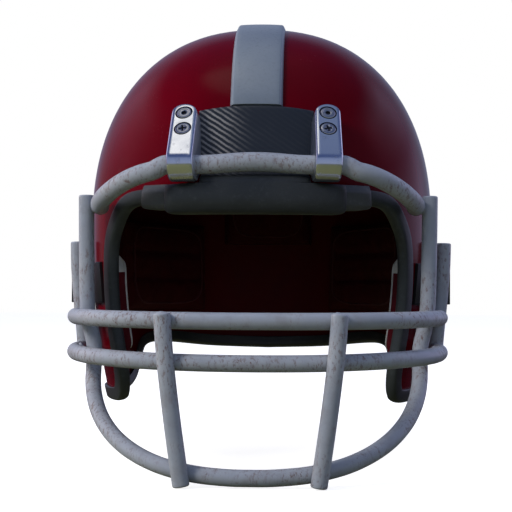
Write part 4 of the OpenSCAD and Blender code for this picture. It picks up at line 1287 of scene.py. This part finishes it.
def clip_saddle(side):
    """The part of a clip behind the side post, open to the front."""
    gap, lay = 0.35, 1.3
    slot_in, out = post_x(CLIP_LOW) - BAR_R - gap, post_x(CLIP_Z) + BAR_R + 1.5
    front, back = POST_AT - 9.5, POST_AT + BAR_R + gap
    end = back + 8.0
    outline = [(slot_in, front), (slot_in, back - 1.5), (slot_in + 1.5, back), (out - 0.8, back),
               (out, back + 0.8), (out, end - 4), (out - 4, end)]
    on_shell = [(side_x(y, CLIP_TOP) + lay, y) for y in (front, end, back)]
    outline = [on_shell[0]] + outline + on_shell[1:]
    rings = [[(side * x, y, z) for x, y in outline] for z in (CLIP_LOW, CLIP_Z, CLIP_TOP)]
    return soften(loft("saddle", rings), 0.8, 3, 30)


def side_clip(word, side):
    piece = joined(word + "_side_clip_block", [clip_plate(side), clip_saddle(side)])
    dress(piece, word + "_side_clip", [CLIP_PLASTIC])


def clip_hardware():
    places = [on_side(side, CENTRE_Y - CLIP_SCREW_BACK, CLIP_Z) for side in SIDES.values()]
    screws = [screw(p, CLIP_HEAD + SEAT_GAP, CLIP_NUT_OUT + NUT_T + SHANK_END) for p in places]
    nuts = [t_nut(p, -CLIP_NUT_OUT - NUT_T) for p in places]
    dress(joined("side_clip_screws_set", screws), "side_clip_screws", [STEEL])
    dress(joined("side_clip_t_nuts_set", nuts), "side_clip_t_nuts", [DARK_STEEL])


def studs():
    """The mushroom heads that a chin strap's cups snap over."""
    foot, r, b, shank, inside = SEAT_GAP + 1.4, STUD_D / 2, STUD_D * 0.32, SHANK_D / 2, -WALL - NUT_GAP
    profile = [(0.0, inside - 2.4), (4.2, inside - 2.4), (4.5, inside - 2.1), (4.5, inside), (shank, inside),
               (shank, SEAT_GAP), (r, SEAT_GAP), (r, foot - 0.5), (r - 0.5, foot), (b + 0.5, foot + 0.02),
               (b, foot + 0.4), (b, STUD_H - 0.8), (b - 0.3, STUD_H - 0.25), (b - 0.9, STUD_H), (0.0, STUD_H)]
    made = [turned("stud", profile, on_side(side, CENTRE_Y + back, z), 40)
            for side in SIDES.values() for back, z in STUD_PLACES]
    dress(joined("chin_strap_studs_set", made), "chin_strap_studs", [STUD_STEEL])


# Build

shell()
edge_trim()
centre_stripe()
brow_sleeve()
front_bumper()
pads()
guard()
for word, side in SIDES.items():
    bracket(word, side)
    side_clip(word, side)
bracket_hardware()
clip_hardware()
studs()

# Stage, light and camera

CAMERA_FAR, CAMERA_TURN, CAMERA_Z, CAMERA_ROLL = 950.0, 1.9, 108.0, 0.35
AIM = np.array([-4.5, CENTRE_Y, 139.4])
FOCAL_PX, FRAME_PX, SENSOR_MM = 1322.0, 512, 36.0
FLOOR_HALF, FLOOR_Z = 9000, -0.3
GROUND = [(0.0, (0.14, 0.145, 0.065)), (0.49, (0.16, 0.165, 0.075))]
HAZE_TOP = [(0.86, (0.05, 0.06, 0.16)), (1.0, (0.17, 0.22, 0.36))]
SKY_FRONT = GROUND + [(0.51, (0.27, 0.31, 0.46)), (0.62, (0.24, 0.29, 0.44)), (0.80, (0.20, 0.25, 0.42)),
                      (0.87, (0.05, 0.08, 0.20)), (0.94, (0.06, 0.09, 0.22)), (1.0, (0.17, 0.22, 0.36))]
SKY_LEFT = GROUND + [(0.51, (0.34, 0.20, 0.26)), (0.58, (0.36, 0.24, 0.32)), (0.65, (0.42, 0.34, 0.55)),
                     (0.78, (0.80, 0.74, 1.10))] + HAZE_TOP
SKY_RIGHT = GROUND + [(0.51, (0.68, 0.64, 1.0)), (0.57, (0.68, 0.64, 1.0)), (0.65, (0.30, 0.28, 0.5)),
                      (0.78, (0.80, 0.80, 1.25))] + HAZE_TOP
CLOUD = (1.30, 1.28, 1.25)
# each lamp's name, place, height of its aim, size, power and colour
LAMPS = [
    ("sun_soft", (-2.2, -1.7, 1.8), 0.16, 1.0, 60, (1.0, 0.96, 0.92)),
    ("sky_left", (-2.0, -0.4, 0.8), 0.18, 1.2, 8, (0.85, 0.92, 1.0)),
    ("sky_top", (0.1, -0.4, 2.6), 0.15, 2.2, 11, (0.62, 0.76, 1.0)),
    ("sun_rim", (-2.5, 0.9, 0.9), 0.15, 0.8, 34, (1.0, 0.93, 0.86)),
    ("sky_right", (2.4, 1.6, 1.3), 0.17, 1.4, 18, (0.80, 0.84, 1.0)),
    ("low_fill", (0.9, -2.6, 0.5), 0.15, 1.4, 4, (0.92, 0.95, 1.0)),
]


def floor():
    """White for the camera; for the rest grass in front of the helmet and dark ground beside it."""
    h, z = FLOOR_HALF, FLOOR_Z
    piece = add_mesh("floor", [(-h, -h, z), (h, -h, z), (h, h, z), (-h, h, z)], [[0, 1, 2, 3]])
    p = Paint("floor_white")
    seen = p.add("LightPath", {}).outputs["Is Camera Ray"]
    parts = p.axes(p.place)
    aside = p.between(p.math("ABSOLUTE", parts["X"]), 0.10, 0.22)
    aside = p.times(aside, p.between(parts["Y"], -0.12, 0.0))
    ground = p.mix(aside, (0.175, 0.180, 0.078), (0.040, 0.020, 0.024))
    paint = p.set(Base_Color=p.mix(seen, ground, (0.55, 0.55, 0.55)), Roughness=0.9, Specular_IOR_Level=0.1,
                  Emission_Color=(1.0, 1.0, 1.0), Emission_Strength=p.times(seen, 0.84))
    piece.data.materials.append(paint)


def light(name, place, aim_z, size, power, colour):
    """A round lamp that looks at the middle line, and isn't seen in reflections."""
    data = bpy.data.lights.new(name, "AREA")
    data.shape, data.size, data.energy, data.color = "DISK", size, power, colour
    lamp = put(name, data)
    lamp.location = place
    lamp.visible_glossy = False
    lamp.rotation_euler = (Vector((0, 0, aim_z)) - Vector(place)).to_track_quat("-Z", "Y").to_euler()


def sky():
    """White for the camera, a pale sky over a dull ground for light and reflections."""
    world = bpy.data.worlds.new("studio")
    bpy.context.scene.world = world
    world.use_nodes = True
    s = Nodes(world.node_tree)
    s.tree.nodes.clear()
    parts = s.axes(s.add("TexCoord", {}).outputs["Generated"])
    x, y, z = parts["X"], parts["Y"], parts["Z"]
    height = s.add("Math", {0: z, 1: 0.5, 2: 0.5}, operation="MULTIPLY_ADD").outputs[0]
    front, left, right = (s.ramp(height, stops) for stops in (SKY_FRONT, SKY_LEFT, SKY_RIGHT))
    side = s.times(s.between(s.math("ABSOLUTE", x), 0.42, 0.66), s.between(y, -0.15, 0.2))
    flank = s.mix(s.between(x, -0.1, 0.1), left, right)
    # a bright cloud high on the left, for the brackets
    cloud = s.times(s.between(z, 0.90, 0.95), s.between(x, 0.05, -0.2))
    cloud = s.times(cloud, s.between(y, 0.16, -0.02))
    colour = s.mix(cloud, s.mix(side, front, flank), CLOUD)
    scenery = s.add("Background", {"Color": colour, "Strength": 1.0}).outputs[0]
    white = s.add("Background", {"Color": (1, 1, 1)}).outputs[0]
    seen = s.add("LightPath", {}).outputs["Is Camera Ray"]
    s.add("OutputWorld", {"Surface": s.add("MixShader", {0: seen, 1: scenery, 2: white}).outputs[0]})


def camera():
    """The camera as it stood for the photo."""
    turn, roll = math.radians(CAMERA_TURN), math.radians(CAMERA_ROLL)
    place = np.array([CAMERA_FAR * math.sin(turn), CENTRE_Y - CAMERA_FAR * math.cos(turn), CAMERA_Z])
    ahead = one_long(AIM - place)
    right = one_long(np.cross(ahead, [0, 0, 1.0]))
    up = np.cross(right, ahead)
    x = math.cos(roll) * right + math.sin(roll) * up
    y = -math.sin(roll) * right + math.cos(roll) * up
    data = bpy.data.cameras.new("camera")
    data.sensor_width, data.lens = SENSOR_MM, FOCAL_PX * SENSOR_MM / FRAME_PX
    data.clip_start, data.clip_end = 0.05, 50
    eye = put("camera", data)
    eye.matrix_world = Matrix(frame_at(x, y, -ahead, place * MM).tolist())
    bpy.context.scene.camera = eye


floor()
sky()
camera()
for lamp in LAMPS:
    light(*lamp)
bpy.context.scene.view_settings.view_transform = "Standard"
